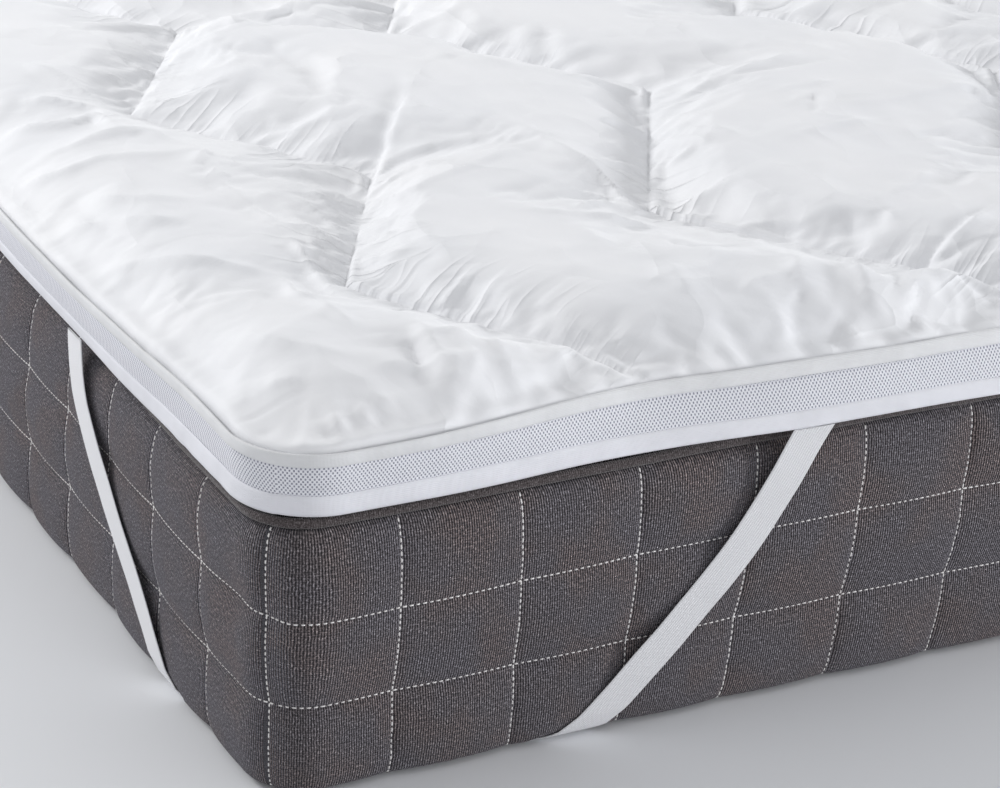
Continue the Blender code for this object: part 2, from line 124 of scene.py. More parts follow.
class Outline:
    """A rounded rectangle. Places along it start in the middle of the corner at -X, -Y
    and run along the foot end first."""

    def __init__(self, radius):
        self.radius = radius
        self.straights = np.array([WIDTH, LENGTH, WIDTH, LENGTH]) - 2 * radius
        self.arc = radius * math.pi / 2
        self.sides = self.straights + self.arc
        self.starts = np.concatenate([[0.0], np.cumsum(self.sides)[:-1]])
        self.length = float(self.sides.sum())

    def split(self, place):
        place = np.mod(place, self.length)
        side = np.clip(np.searchsorted(self.starts, place, side="right") - 1, 0, 3)
        return side, place - self.starts[side]

    def corner_distance(self, place):
        side, along = self.split(place)
        return np.minimum(along, self.sides[side] - along)

    def at(self, place):
        """Points there, and the directions that face out."""
        side, along = self.split(place)
        half, straight = self.arc / 2, self.straights[side]
        past = np.minimum(along - half, 0.0) + np.maximum(along - half - straight, 0.0)
        turn = past / self.radius
        run = np.clip(along - half, 0.0, straight) - straight / 2
        nx, ny = np.sin(turn), -np.cos(turn)
        reach = np.where(side % 2 == 0, LENGTH, WIDTH) / 2
        px, py = run + nx * self.radius, -reach + self.radius + ny * self.radius
        cos, sin = np.array([1, 0, -1, 0])[side], np.array([0, 1, 0, -1])[side]
        point = np.stack([px * cos - py * sin, px * sin + py * cos], -1)
        return point, np.stack([nx * cos - ny * sin, nx * sin + ny * cos], -1)

    def locate(self, x, y):
        """The places nearest to points, and how far inside the outline they are."""
        across, along = WIDTH / 2 - self.radius, LENGTH / 2 - self.radius
        depths = np.stack([y + LENGTH / 2, WIDTH / 2 - x, LENGTH / 2 - y, x + WIDTH / 2])
        side = np.argmin(depths, axis=0)
        runs = np.stack([x, y, -x, -y])
        pick = (side, *np.indices(side.shape))
        place = self.starts[side] + self.sides[side] / 2 + runs[pick]
        inside = depths[pick]
        sx, sy = np.where(x < 0, -1, 1), np.where(y < 0, -1, 1)
        corner = np.where(sy < 0, np.where(sx < 0, 0, 1), np.where(sx > 0, 2, 3))
        dx, dy = x - sx * across, y - sy * along
        middle = -3 * math.pi / 4 + corner * math.pi / 2
        turn = np.mod(np.arctan2(dy, dx) - middle + math.pi, 2 * math.pi) - math.pi
        round_it = (np.abs(x) > across) & (np.abs(y) > along)
        place = np.where(round_it, self.starts[corner] + turn * self.radius, place)
        return place, np.where(round_it, self.radius - np.hypot(dx, dy), inside)


MATTRESS_LINE = Outline(MATTRESS_CORNER)
TOPPER_LINE = Outline(TOPPER_CORNER)


def ripple(place, length):
    turn = 2 * math.pi * place / length
    return 0.55 * np.sin(13 * turn + 0.6) + 0.3 * np.sin(29 * turn + 2.1) + 0.15 * np.sin(47 * turn)


def edge_pull(place):
    """How far the topper's pull draws the mattress's top edge in."""
    return EDGE_PULL * smooth((MATTRESS_LINE.corner_distance(place) - 0.10) / 0.35)


def border_point(place, share):
    """How far outside the topper's outline its border is, and its height."""
    side, _ = TOPPER_LINE.split(place)
    corner = TOPPER_LINE.corner_distance(place)
    away = smooth((corner - 0.10) / 0.25)
    lean_to, slack, waist = (np.array(part)[side] for part in zip(*BORDER_SIDES))
    foot = CORNER_OUT + (SIDE_OUT - CORNER_OUT) * smooth((corner - 0.05) / 0.5)
    foot = foot - slack * smooth(1 - np.abs(corner - SLACK_PLACE) / SLACK_REACH)
    foot = foot - waist * smooth((corner - 0.25) / 0.30)
    foot = foot + 0.0012 * ripple(place, TOPPER_LINE.length)
    lean = CORNER_LEAN + (lean_to - CORNER_LEAN) * away
    lean = lean + 0.0015 * ripple(place + 0.3, TOPPER_LINE.length)
    height = BORDER_HEIGHT - 0.0015 * away * (1 + ripple(place + 0.8, TOPPER_LINE.length))
    height = height - 0.002 * (1 - away)
    return foot - lean * share, TOPPER_BASE + height * share


def placed(line, place, out, height):
    """Points a distance outside an outline, at a height."""
    point, normal = line.at(place)
    flat = point + normal * np.asarray(out)[..., None]
    height = np.broadcast_to(height, flat.shape[:-1])
    return np.concatenate([flat, height[..., None]], -1)


def new_mesh(name, points, faces, uvs=None, finish=None, smooth_faces=True):
    """A mesh object from arrays. uvs are one pair for each point, in metres."""
    points = np.asarray(points, np.float32).reshape(-1, 3)
    faces = [np.asarray(part, np.int32) for part in (faces if isinstance(faces, list) else [faces])]
    data = bpy.data.meshes.new(name)
    sizes = np.concatenate([np.full(len(part), part.shape[1]) for part in faces])
    loops = np.concatenate([part.ravel() for part in faces])
    data.vertices.add(len(points))
    data.vertices.foreach_set("co", points.ravel())
    data.loops.add(len(loops))
    data.loops.foreach_set("vertex_index", loops)
    data.polygons.add(len(sizes))
    data.polygons.foreach_set("loop_start", np.concatenate([[0], np.cumsum(sizes)[:-1]]))
    data.polygons.foreach_set("use_smooth", np.full(len(sizes), smooth_faces))
    if uvs is not None:
        layer = data.uv_layers.new(name="Flat")
        uvs = np.asarray(uvs, np.float32).reshape(-1, 2)
        layer.data.foreach_set("uv", uvs[loops].ravel())
    data.update(calc_edges=True)
    data.validate()
    made = bpy.data.objects.new(name, data)
    if finish is not None:
        data.materials.append(finish)
    bpy.context.scene.collection.objects.link(made)
    return made


def grid_faces(rows, columns, closed=False, start=0):
    """Quads between rows of points. Closed rows are rings."""
    wide = columns if closed else columns - 1
    i, j = np.meshgrid(np.arange(rows - 1), np.arange(wide), indexing="ij")
    here, after = i * columns + j, i * columns + (j + 1) % columns
    quads = np.stack([here, after, after + columns, here + columns], -1)
    return quads.reshape(-1, 4) + start


def end_caps(rings, columns):
    """One face over the first ring of points and one over the last."""
    ring = np.arange(columns)
    return [ring[::-1][None, :], (ring + (rings - 1) * columns)[None, :]]


def welded(piece):
    """Joins the points that meet where a piece's own grid closes."""
    piece.modifiers.new("Weld", "WELD").merge_threshold = 1e-6
    return piece


def dress(piece, slot, *nodes):
    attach(piece, "root")
    if nodes:
        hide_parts(*nodes)
    return piece


# The strap's section, from the topper down over the side and under the mattress
STRAP_SECTION = (
    (0.0036, 0.2322), (0.0060, 0.2050), (0.0072, 0.1860), (0.0072, 0.1130), (0.0045, 0.0500),
    (0.0020, 0.0220), (-0.0030, 0.0085), (-0.0095, 0.0034), (-0.0200, 0.0020), (-0.0300, 0.0018),
)
# The strap's middle line with the mattress's sides folded out flat: (across, along)
# from the corner, negative on the sides
STRAP_ROUTE = (
    (0.461, -0.236), (0.448, -0.218), (0.423, -0.180), (0.391, -0.134), (0.346, -0.083), (0.319, -0.054),
    (0.247, 0.018), (0.135, 0.100), (0.020, 0.184), (-0.051, 0.237), (-0.109, 0.296), (-0.140, 0.330),
    (-0.180, 0.364), (-0.218, 0.380), (-0.236, 0.382),
)
SECTION = np.array(STRAP_SECTION[::-1])
SECTION_STEPS = np.concatenate([[0.0], np.cumsum(np.hypot(*np.diff(SECTION, axis=0).T))])
STRAP_FLAT = -SECTION[0, 0]
STRAP_LOWEST, STRAP_HIGHEST = 0.0003, 0.2335


def curve_through(points, steps):
    """Points on a smooth curve through the given ones."""
    nodes = np.asarray(points, float)
    nodes = np.vstack([2 * nodes[0] - nodes[1], nodes, 2 * nodes[-1] - nodes[-2]])
    travel = np.linspace(0, len(nodes) - 3 - 1e-9, steps)
    leg = travel.astype(int)
    t = (travel - leg)[:, None]
    a, b, c, d = (nodes[leg + k] for k in range(4))
    return 0.5 * (2 * b + (c - a) * t + (2 * a - 5 * b + 4 * c - d) * t**2 + (3 * b - a - 3 * c + d) * t**3)


def on_section(beyond):
    """How far outside the outline, and how high, the strap is a distance past the edge."""
    travel = np.asarray(beyond) + STRAP_FLAT
    out = np.interp(travel, SECTION_STEPS, SECTION[:, 0])
    return np.where(travel < 0, -STRAP_FLAT + travel, out), np.interp(travel, SECTION_STEPS, SECTION[:, 1])


def polyline_distance(x, y, line):
    """Distance from points to a polyline, the side that they are on, and how far along it they are."""
    best = np.full(x.shape, 1e9)
    side, along = np.zeros(x.shape), np.zeros(x.shape)
    run = 0.0
    for (ax, ay), (bx, by) in zip(line[:-1], line[1:]):
        length = math.hypot(bx - ax, by - ay)
        if length < 1e-9:
            continue
        tx, ty = (bx - ax) / length, (by - ay) / length
        t = np.clip((x - ax) * tx + (y - ay) * ty, 0, length)
        far = np.hypot(x - ax - tx * t, y - ay - ty * t)
        near = far < best
        best = np.where(near, far, best)
        side = np.where(near, np.sign(tx * (y - ay) - ty * (x - ax)), side)
        along = np.where(near, run + t, along)
        run += length
    return best, side, along, run


# The mattress's side, from under its edge up to its top seam: row, height and how far inside the outline
SIDE_PROFILE = np.array(
    (
        (0.00, 0.0000, 0.0260), (0.06, 0.0012, 0.0150), (0.14, 0.0060, 0.0090), (0.28, 0.0180, 0.0068),
        (0.60, 0.0450, 0.0058), (1.00, 0.0760, 0.0050), (1.50, 0.1130, 0.0022), (2.00, 0.1500, 0.0000),
        (2.50, 0.1850, -0.0003), (2.74, 0.2020, 0.0006), (2.86, 0.2110, 0.0024), (2.94, 0.2165, 0.0050),
        (3.00, 0.2192, 0.0085),
    )
)
SECTION_HEIGHTS = SECTION[:, 1]


def strap_press(place, out, height):
    """Draws the mattress's face in behind a strap."""
    point, _ = MATTRESS_LINE.at(place)
    across, along = WIDTH / 2 - np.abs(point[..., 0]), LENGTH / 2 - np.abs(point[..., 1])
    side, _ = MATTRESS_LINE.split(place)
    up = np.interp(height, SECTION_HEIGHTS, SECTION_STEPS) - STRAP_FLAT
    up = np.where(height < 0.004, -0.010 + height, up)
    end_face = side % 2 == 0
    u, v = np.where(end_face, across, -up), np.where(end_face, -up, along)
    close = (across < 0.55) & (along < 0.55)
    press = np.zeros(out.shape)
    far, _, _, _ = polyline_distance(u[close], v[close], curve_through(STRAP_ROUTE, 60))
    press[close] = smooth(1 - (far - 0.0160) / 0.012)
    limit = np.interp(height, SECTION_HEIGHTS, SECTION[:, 0]) - 0.0007
    return out - press * np.maximum(out - limit, 0.0), np.maximum(height, press * 0.0024)


# The quilting starts a little to the left of each corner's middle, and its cells
# are wider near the corner that the photograph shows
CELL_START = -0.007
CELL_DRIFT = np.array([0.0081, 0.0, 0.0, -0.0087])


def cell_place(side, cell):
    """The place of a line between cells."""
    share = np.asarray(cell) / (CELLS_ACROSS, CELLS_ALONG)[side % 2]
    run = MATTRESS_LINE.sides[side] * share + CELL_DRIFT[side] * np.sin(math.pi * share)
    return MATTRESS_LINE.starts[side] + CELL_START + run


def corner_form(place, height):
    """The face stands out beside a corner's seam on one side and is drawn flat on the other."""
    side, along = MATTRESS_LINE.split(place - CELL_START)
    before = MATTRESS_LINE.sides[side] - along
    level = np.interp(height, (0.0, 0.076, 0.150, 0.205), (0.0, 0.15, 1.0, 0.3))
    out = 0.0078 * smooth(along / 0.022) * (1 - smooth((along - 0.06) / 0.30)) * level
    drawn = smooth(before / 0.035) * (1 - smooth((before - 0.035) / 0.07))
    return out - drawn * (0.0020 + 0.0045 * level)


def mattress_surface(place, row):
    """The quilted side: points for places round it and rows up it."""
    place, row = np.broadcast_arrays(np.asarray(place, float), np.asarray(row, float))
    side, along = MATTRESS_LINE.split(place - CELL_START)
    cells = np.array([CELLS_ACROSS, CELLS_ALONG] * 2)[side]
    share = along / MATTRESS_LINE.sides[side]
    share = share - CELL_DRIFT[side] / MATTRESS_LINE.sides[side] * np.sin(math.pi * share)
    cell = share * cells
    fu, fv = np.mod(cell, 1.0), np.clip(np.mod(row, 1.0), 0, 1)
    fv = np.where(row >= 3.0, 1.0, fv)
    p2, q2 = 4 * fu * (1 - fu), 4 * fv * (1 - fv)
    p, q = p2**0.52, q2**0.60
    height = np.interp(row, SIDE_PROFILE[:, 0], SIDE_PROFILE[:, 1])
    inset = np.interp(row, SIDE_PROFILE[:, 0], SIDE_PROFILE[:, 2])
    plump = 1 + 0.16 * noise(np.floor(cell) + 40 * side, np.floor(row), 5)
    out = PILLOW * plump * p * q + 0.0024 * (1 - p) * q2 + 0.0018 * (1 - q) * p2 - inset
    out = out + corner_form(place, height)
    loose = 1 - 0.75 * smooth((row - 2.8) / 0.2)
    out = out + 0.0007 * noise(place / 0.045, height / 0.040, 11) * p * q * loose
    pucker = np.exp(-fu * 14) + np.exp(-(1 - fu) * 14)
    out = out + 0.0005 * pucker * noise(place / 0.03, height / 0.0075, 13) * q2
    out = out - edge_pull(place) * smooth((height - 0.11) / 0.105)
    drift = 0.0011 * noise(place / 0.07, height / 0.055, 17) * smooth(height / 0.03)
    edge = np.minimum(along, MATTRESS_LINE.sides[side] - along)
    drift = drift + 0.11 * smooth((edge - 0.20) / 0.25) * (height - 0.150)
    out, height = strap_press(place, out, height)
    return placed(MATTRESS_LINE, place + drift, out, height)


def mattress_places():
    """Places round the mattress, closest together in the cells that the photograph shows."""
    places = []
    for side, cells in enumerate((CELLS_ACROSS, CELLS_ALONG) * 2):
        for cell in range(cells):
            near = (side == 0 and cell < 8) or (side == 3 and cell > cells - 8)
            count = 24 if near else 11
            part = np.arange(count) / count
            part = 0.6 * part + 0.4 * (0.5 - 0.5 * np.cos(math.pi * part))
            places.append(cell_place(side, cell + part))
    return np.concatenate(places)


def make_mattress(finish):
    places = mattress_places()
    count = len(places)
    fine = np.linspace(0, 1, 25)
    fine = 0.5 * fine + 0.5 * (0.5 - 0.5 * np.cos(math.pi * fine))
    rows = np.concatenate([[0.0, 0.03], fine[1:], 1 + fine[1:], 2 + fine[1:]])
    body = mattress_surface(places[None, :], rows[:, None])
    heights = body[..., 2]
    pull = edge_pull(places)
    top = [placed(MATTRESS_LINE, places, -0.011 - pull, z) for z in (0.2194, MATTRESS_TOP)]
    under = placed(MATTRESS_LINE, places, np.full(count, -0.0300), 0.0024)
    points = np.concatenate([under[None], body, np.stack(top)])
    levels = np.concatenate([[-0.006], np.zeros(1), np.cumsum(np.maximum(np.diff(heights.mean(1)), 0.0005))])
    levels = np.concatenate([levels, [levels[-1] + 0.003, levels[-1] + 0.012]])
    uvs = np.stack(np.broadcast_arrays(places[None, :], levels[:, None]), -1)
    quads = grid_faces(len(points), count, closed=True)
    body = new_mesh("mattress_cover", points, [quads, *end_caps(len(points), count)], uvs, finish)
    return dress(body, "mattress", "mattress")


STITCH_LENGTH, STITCH_WIDTH = 0.0039, 0.00145
STITCH_PITCH_UP, STITCH_PITCH_ROUND = 0.0050, 0.0053
# A stitch's rings: where along it, how thick, and how far off the cloth
STITCH_RINGS = (
    (-0.5, 0.30, -0.00045),
    (-0.27, 1.0, 0.00030),
    (0.27, 1.0, 0.00030),
    (0.5, 0.30, -0.00045),
)


def stitches(name, middles, tangents, normals, length, width, finish):
    """Short rounded threads, one at each point."""
    sides = np.cross(normals, tangents)
    count = len(middles)
    points = []
    for at, size, lift in STITCH_RINGS:
        ring = middles + tangents * (at * length)[..., None] + normals * lift
        for a, b in ((1, 0), (0, 1), (-1, 0), (0, -1)):
            points.append(ring + (sides * a + normals * b * 0.75) * width / 2 * size)
    points = np.stack(points, 1)
    faces = np.concatenate([grid_faces(4, 4, closed=True), *end_caps(4, 4)])
    faces = faces[None] + (np.arange(count) * 16)[:, None, None]
    return new_mesh(name, points, faces.reshape(-1, 4), None, finish)


def along_path(surface, path, pitch):
    """Points a pitch apart on a path over a surface, with their tangents and normals."""
    steps = np.linalg.norm(np.diff(surface(*path), axis=0), axis=1)
    run = np.concatenate([[0.0], np.cumsum(steps)])
    stops = np.arange(pitch / 2, run[-1], pitch)
    a, b = (np.interp(stops, run, part) for part in path)
    here = surface(a, b)
    ahead = surface(*(np.interp(stops + 0.001, run, part) for part in path))
    behind = surface(*(np.interp(stops - 0.001, run, part) for part in path))
    tangent = ahead - behind
    tangent /= np.linalg.norm(tangent, axis=1)[:, None] + 1e-12
    across = surface(a + 0.0015, b) - surface(a - 0.0015, b)
    up = surface(a, b + 0.012) - surface(a, b - 0.012)
    normal = np.cross(across, up)
    normal -= tangent * (normal * tangent).sum(1)[:, None]
    normal /= np.linalg.norm(normal, axis=1)[:, None] + 1e-12
    return here, tangent, normal


def make_stitches(finish):
    """The threads along the mattress's quilting."""
    found = []
    for side, cells in enumerate((CELLS_ACROSS, CELLS_ALONG) * 2):
        for cell in range(cells):
            rows = np.linspace(0.10, 2.975, 220)
            path = (np.full(len(rows), cell_place(side, cell)), rows)
            found.append(along_path(mattress_surface, path, STITCH_PITCH_UP))
    for row in (1.0, 2.0):
        places = np.linspace(0, MATTRESS_LINE.length, 6000)
        path = (places, np.full(len(places), row))
        found.append(along_path(mattress_surface, path, STITCH_PITCH_ROUND))
    middles, tangents, normals = (np.concatenate(part) for part in zip(*found))
    rng = np.random.default_rng(3)
    lengths = STITCH_LENGTH * (1 + 0.10 * rng.standard_normal(len(middles)))
    piece = stitches("mattress_stitches", middles, tangents, normals, lengths, STITCH_WIDTH, finish)
    return dress(piece, "mattress")


def ring_places(line, spacing, corner_spacing):
    """Places round an outline, closer in its corners."""
    places = []
    for side in range(4):
        start, half = line.starts[side], line.arc / 2
        corner = max(2, round(half / corner_spacing))
        count = round(line.straights[side] / spacing)
        places.append(start + half * np.arange(corner) / corner)
        places.append(start + half + line.straights[side] * np.arange(count) / count)
        places.append(start + half + line.straights[side] + half * np.arange(corner) / corner)
    return np.concatenate(places)


def ring_piece(name, line, places, profile, finish):
    """A closed section carried round an outline. profile gives how far out and how high its points are."""
    outs, heights = profile(places)
    points = placed(line, places[None, :], outs, heights)
    sections, count = points.shape[:2]
    out_steps, up_steps = (np.diff(np.concatenate([part, part[:1]]).mean(1)) for part in (outs, heights))
    level = np.concatenate([[0.0], np.cumsum(np.hypot(out_steps, up_steps))])
    wrapped = np.concatenate([points, points[:1]])
    wrapped = np.concatenate([wrapped, wrapped[:, :1]], 1)
    turns = np.concatenate([places, [places[0] + line.length]])
    uvs = np.stack(np.broadcast_arrays(turns[None, :], level[:, None]), -1)
    return welded(new_mesh(name, wrapped, grid_faces(sections + 1, count + 1), uvs, finish))


def make_piping(finish):
    turn = np.linspace(0, 2 * math.pi, 18, endpoint=False)

    def profile(places):
        centre = -0.005 - edge_pull(places) + 0.0004 * noise(places / 0.06, 0, 21)
        height = PIPING_HEIGHT + 0.0005 * noise(places / 0.09, 3, 22)
        radius = PIPING_RADIUS * (1 + 0.03 * noise(places / 0.012, 7, 23))
        outs = centre[None] + radius[None] * np.cos(turn)[:, None]
        return outs, height[None] + radius[None] * np.sin(turn)[:, None]

    places = ring_places(MATTRESS_LINE, 0.010, 0.004)
    piece = ring_piece("mattress_welt", MATTRESS_LINE, places, profile, finish)
    return dress(piece, "mattress_piping", "mattress_piping")


# The knit's section from its edge in: how far inside the outline, and its height
PANEL_SECTION = (
    (0.0100, 0.2288), (0.0076, 0.2290), (0.0070, 0.2300), (0.0078, 0.2308),
    (0.0100, 0.2312), (0.0160, 0.2313), (0.0300, 0.2313),
)


def make_panel(finish):
    """The knit on the mattress's top face, turned down a little at its edge."""
    places = ring_places(MATTRESS_LINE, 0.02, 0.004)
    pull = edge_pull(places)
    points = np.stack([placed(MATTRESS_LINE, places, -inset - pull, z) for inset, z in PANEL_SECTION])
    rings, count = points.shape[:2]
    faces = [grid_faces(rings, count, closed=True), *end_caps(rings, count)]
    piece = new_mesh("mattress_top_panel", points, faces, None, finish)
    return dress(piece, "mattress_panel", "mattress_panel")


# Near the corners the lower tape hangs below its seam and stands out
CORNER_HANG = 0.0034
CORNER_HANG_OUT = 0.0030


def band_profile(rows, seed, ruck):
    """A border tape's closed section, from share of the border's height and how far out, with rucks."""

    def profile(places):
        outs, heights = [], []
        tight = smooth(noise(places / 0.11, 5, seed) * 1.6)
        close = 1 - smooth((TOPPER_LINE.corner_distance(places) - 0.12) / 0.30)
        for share, out in rows:
            base, height = border_point(places, share)
            hang = close * smooth(1 - share / 0.30) * (out > -0.0045)
            base, height = base + CORNER_HANG_OUT * hang, height - CORNER_HANG * hang
            wave = ruck * noise(places / 0.016, share * 2, seed + 1) * tight
            wave = wave + 0.0003 * noise(places / 0.05, share * 3, seed + 2)
            outs.append(base + out + wave)
            heights.append(height + 0.4 * wave + 0.0004 * noise(places / 0.07, 2, seed + 3))
        return np.stack(outs), np.stack(heights)

    return profile


# Sections of the border's pieces: share of the border's height, and how far out
BOTTOM_TAPE = (
    (0.020, -0.0050), (0.012, -0.0030), (0.016, -0.0012), (0.034, -0.0002), (0.070, 0.0003), (0.120, 0.0005),
    (0.180, 0.0005), (0.225, 0.0002), (0.255, -0.0002), (0.268, -0.0008), (0.274, -0.0018), (0.270, -0.0040),
    (0.240, -0.0056), (0.060, -0.0056),
)
MESH_BAND = (
    (0.250, -0.0046), (0.250, -0.0014), (0.300, -0.0011), (0.380, -0.0007), (0.460, -0.0004),
    (0.540, -0.0004), (0.620, -0.0007), (0.700, -0.0011), (0.780, -0.0015), (0.780, -0.0046),
    (0.510, -0.0050),
)
TOP_TAPE = (
    (0.768, -0.0046), (0.760, -0.0022), (0.764, -0.0008), (0.778, 0.0000), (0.810, 0.0005), (0.860, 0.0006),
    (0.905, 0.0005), (0.945, 0.0001), (0.972, -0.0005), (0.986, -0.0014), (0.984, -0.0024), (0.962, -0.0034),
    (0.910, -0.0046), (0.800, -0.0056),
)


def make_border(tape_low, spacer, tape_high):
    places = ring_places(TOPPER_LINE, 0.0055, 0.0035)
    made = []
    for name, node, rows, seed, ruck, finish, width in (
        ("border_bottom_tape", "bottom_binding", BOTTOM_TAPE, 31, 0.0006, tape_low, 0.022),
        ("border_mesh", "mesh_border", MESH_BAND, 41, 0.0004, spacer, 0.031),
        ("border_top_tape", "top_binding", TOP_TAPE, 51, 0.0007, tape_high, 0.020),
    ):
        piece = ring_piece(name, TOPPER_LINE, places, band_profile(rows, seed, ruck), finish)
        made.append(dress(piece, node, node))
    return made


def make_strap(name, node, x_side, y_side, finish):
    """An elastic band from under the lower tape, across the corner's underside."""
    middle = curve_through(STRAP_ROUTE, 330)
    slope = np.gradient(middle, axis=0)
    slope /= np.linalg.norm(slope, axis=1)[:, None]
    reach = np.stack([-slope[:, 1], slope[:, 0]], 1)
    run = np.concatenate([[0.0], np.cumsum(np.linalg.norm(np.diff(middle, axis=0), axis=1))])
    half = STRAP_WIDTH / 2
    shoulder = half - 0.0006
    flat_part = np.linspace(-half + 0.002, half - 0.002, 9)
    section = [(-half, 0.3), (-shoulder, 0.0), *((x, 0.0) for x in flat_part), (shoulder, 0.0), (half, 0.3)]
    section += [(half, 0.7), (shoulder, 1.0), *((x, 1.0) for x in flat_part[::-1]), (-shoulder, 1.0)]
    section.append((-half, 0.7))
    curl = 0.0003 * noise(run / 0.03, 0, 61)
    points = []
    for across, depth in section:
        flat = middle + reach * (across * (1 + 0.01 * noise(run / 0.05, 4, 62)))[:, None]
        u, v = flat[:, 0], flat[:, 1]
        on_end = (v < STRAP_FLAT) & (v < u)
        beyond = np.where(on_end, -v, -u)
        out, height = on_section(beyond)
        out2, height2 = on_section(beyond + 0.001)
        nx, nz = height2 - height, -(out2 - out)
        size = np.hypot(nx, nz) + 1e-12
        nx, nz = np.where(size < 1e-8, 1.0, nx / size), np.where(size < 1e-8, 0.0, nz / size)
        out = out + nx * STRAP_THICKNESS * depth + curl
        height = np.minimum(height + nz * STRAP_THICKNESS * depth, STRAP_HIGHEST)
        lx, ly = np.where(on_end, u, -out), np.where(on_end, -out, v)
        x, y = x_side * (WIDTH / 2 - lx), y_side * (LENGTH / 2 - ly)
        points.append(np.stack([x, y, np.maximum(height, STRAP_LOWEST)], 1))
    points = np.stack(points, 1)
    count = points.shape[1]
    widths = np.array([across for across, _ in section])
    if x_side * y_side > 0:
        points, widths = points[:, ::-1], widths[::-1]
    wrapped = np.concatenate([points, points[:, :1]], 1)
    uvs = np.stack(np.broadcast_arrays(run[:, None], np.concatenate([widths, widths[:1]])[None, :]), -1)
    ends = [np.arange(count)[None, ::-1], (np.arange(count) + (len(points) - 1) * (count + 1))[None, :]]
    piece = welded(new_mesh(name, wrapped, [grid_faces(len(points), count + 1), *ends], uvs, finish))
    return dress(piece, "elastic", node)


# Zigzag quilting: four lines of stitches from the foot end to the head end, as (x, y) turns
QUILT_LINES = tuple(
    np.array(line)
    for line in (
        (
            (-0.385, -1.000), (-0.527, -0.750), (-0.392, -0.505), (-0.534, -0.290), (-0.395, -0.050),
            (-0.530, 0.195), (-0.390, 0.440), (-0.530, 0.685), (-0.395, 0.930), (-0.430, 1.000),
        ),
        (
            (0.000, -1.000), (-0.218, -0.686), (-0.047, -0.385), (-0.210, -0.140), (-0.070, 0.105),
            (-0.215, 0.350), (-0.070, 0.595), (-0.215, 0.840), (-0.125, 1.000),
        ),
        (
            (0.300, -1.000), (0.160, -0.715), (0.305, -0.450), (0.160, -0.200), (0.300, 0.045),
            (0.155, 0.290), (0.300, 0.535), (0.155, 0.780), (0.285, 1.000),
        ),
        (
            (0.540, -1.000), (0.410, -0.740), (0.545, -0.490), (0.405, -0.240), (0.545, 0.005),
            (0.405, 0.250), (0.545, 0.500), (0.405, 0.745), (0.535, 1.000),
        ),
    )
)

# The rim, the crown and the left and front edges that the pad's top was taken to have when the
# creases were read off the photograph
READ_RIM, READ_CROWN = 0.279, 0.033
READ_LEFT, READ_FRONT = 0.690, 0.972
READ_ROUNDS, READ_STEP = 40, 0.35


def on_pad(pixels):
    """The places on the pad's top that the photograph shows at its pixels."""
    middle = (PHOTO_WIDTH / 2, PHOTO_HEIGHT / 2)
    steps = (np.array(pixels) - middle) * CAMERA_SENSOR / PHOTO_WIDTH / CAMERA_LENS
    sight = steps[:, :1] * CAMERA_RIGHT - steps[:, 1:] * CAMERA_UP - CAMERA_BACK
    height = np.full(len(sight), READ_RIM + READ_CROWN)
    for _ in range(READ_ROUNDS):
        flat = CAMERA_PLACE + sight * ((height - CAMERA_PLACE[2]) / sight[:, 2])[:, None]
        beside = np.minimum(flat[:, 0] + READ_LEFT, WIDTH / 2 - flat[:, 0])
        edge = puffed(beside / RIM_REACH) * puffed((flat[:, 1] + READ_FRONT) / RIM_REACH)
        height += READ_STEP * (READ_RIM + READ_CROWN * edge - height)
    return flat[:, :2]


Fold = namedtuple("Fold", "height width points")


def fold(height, width, *pixels):
    """A crease from its height and half width in millimetres and the pixels that it follows."""
    return Fold(height / 1000, width / 1000, on_pad(pixels))


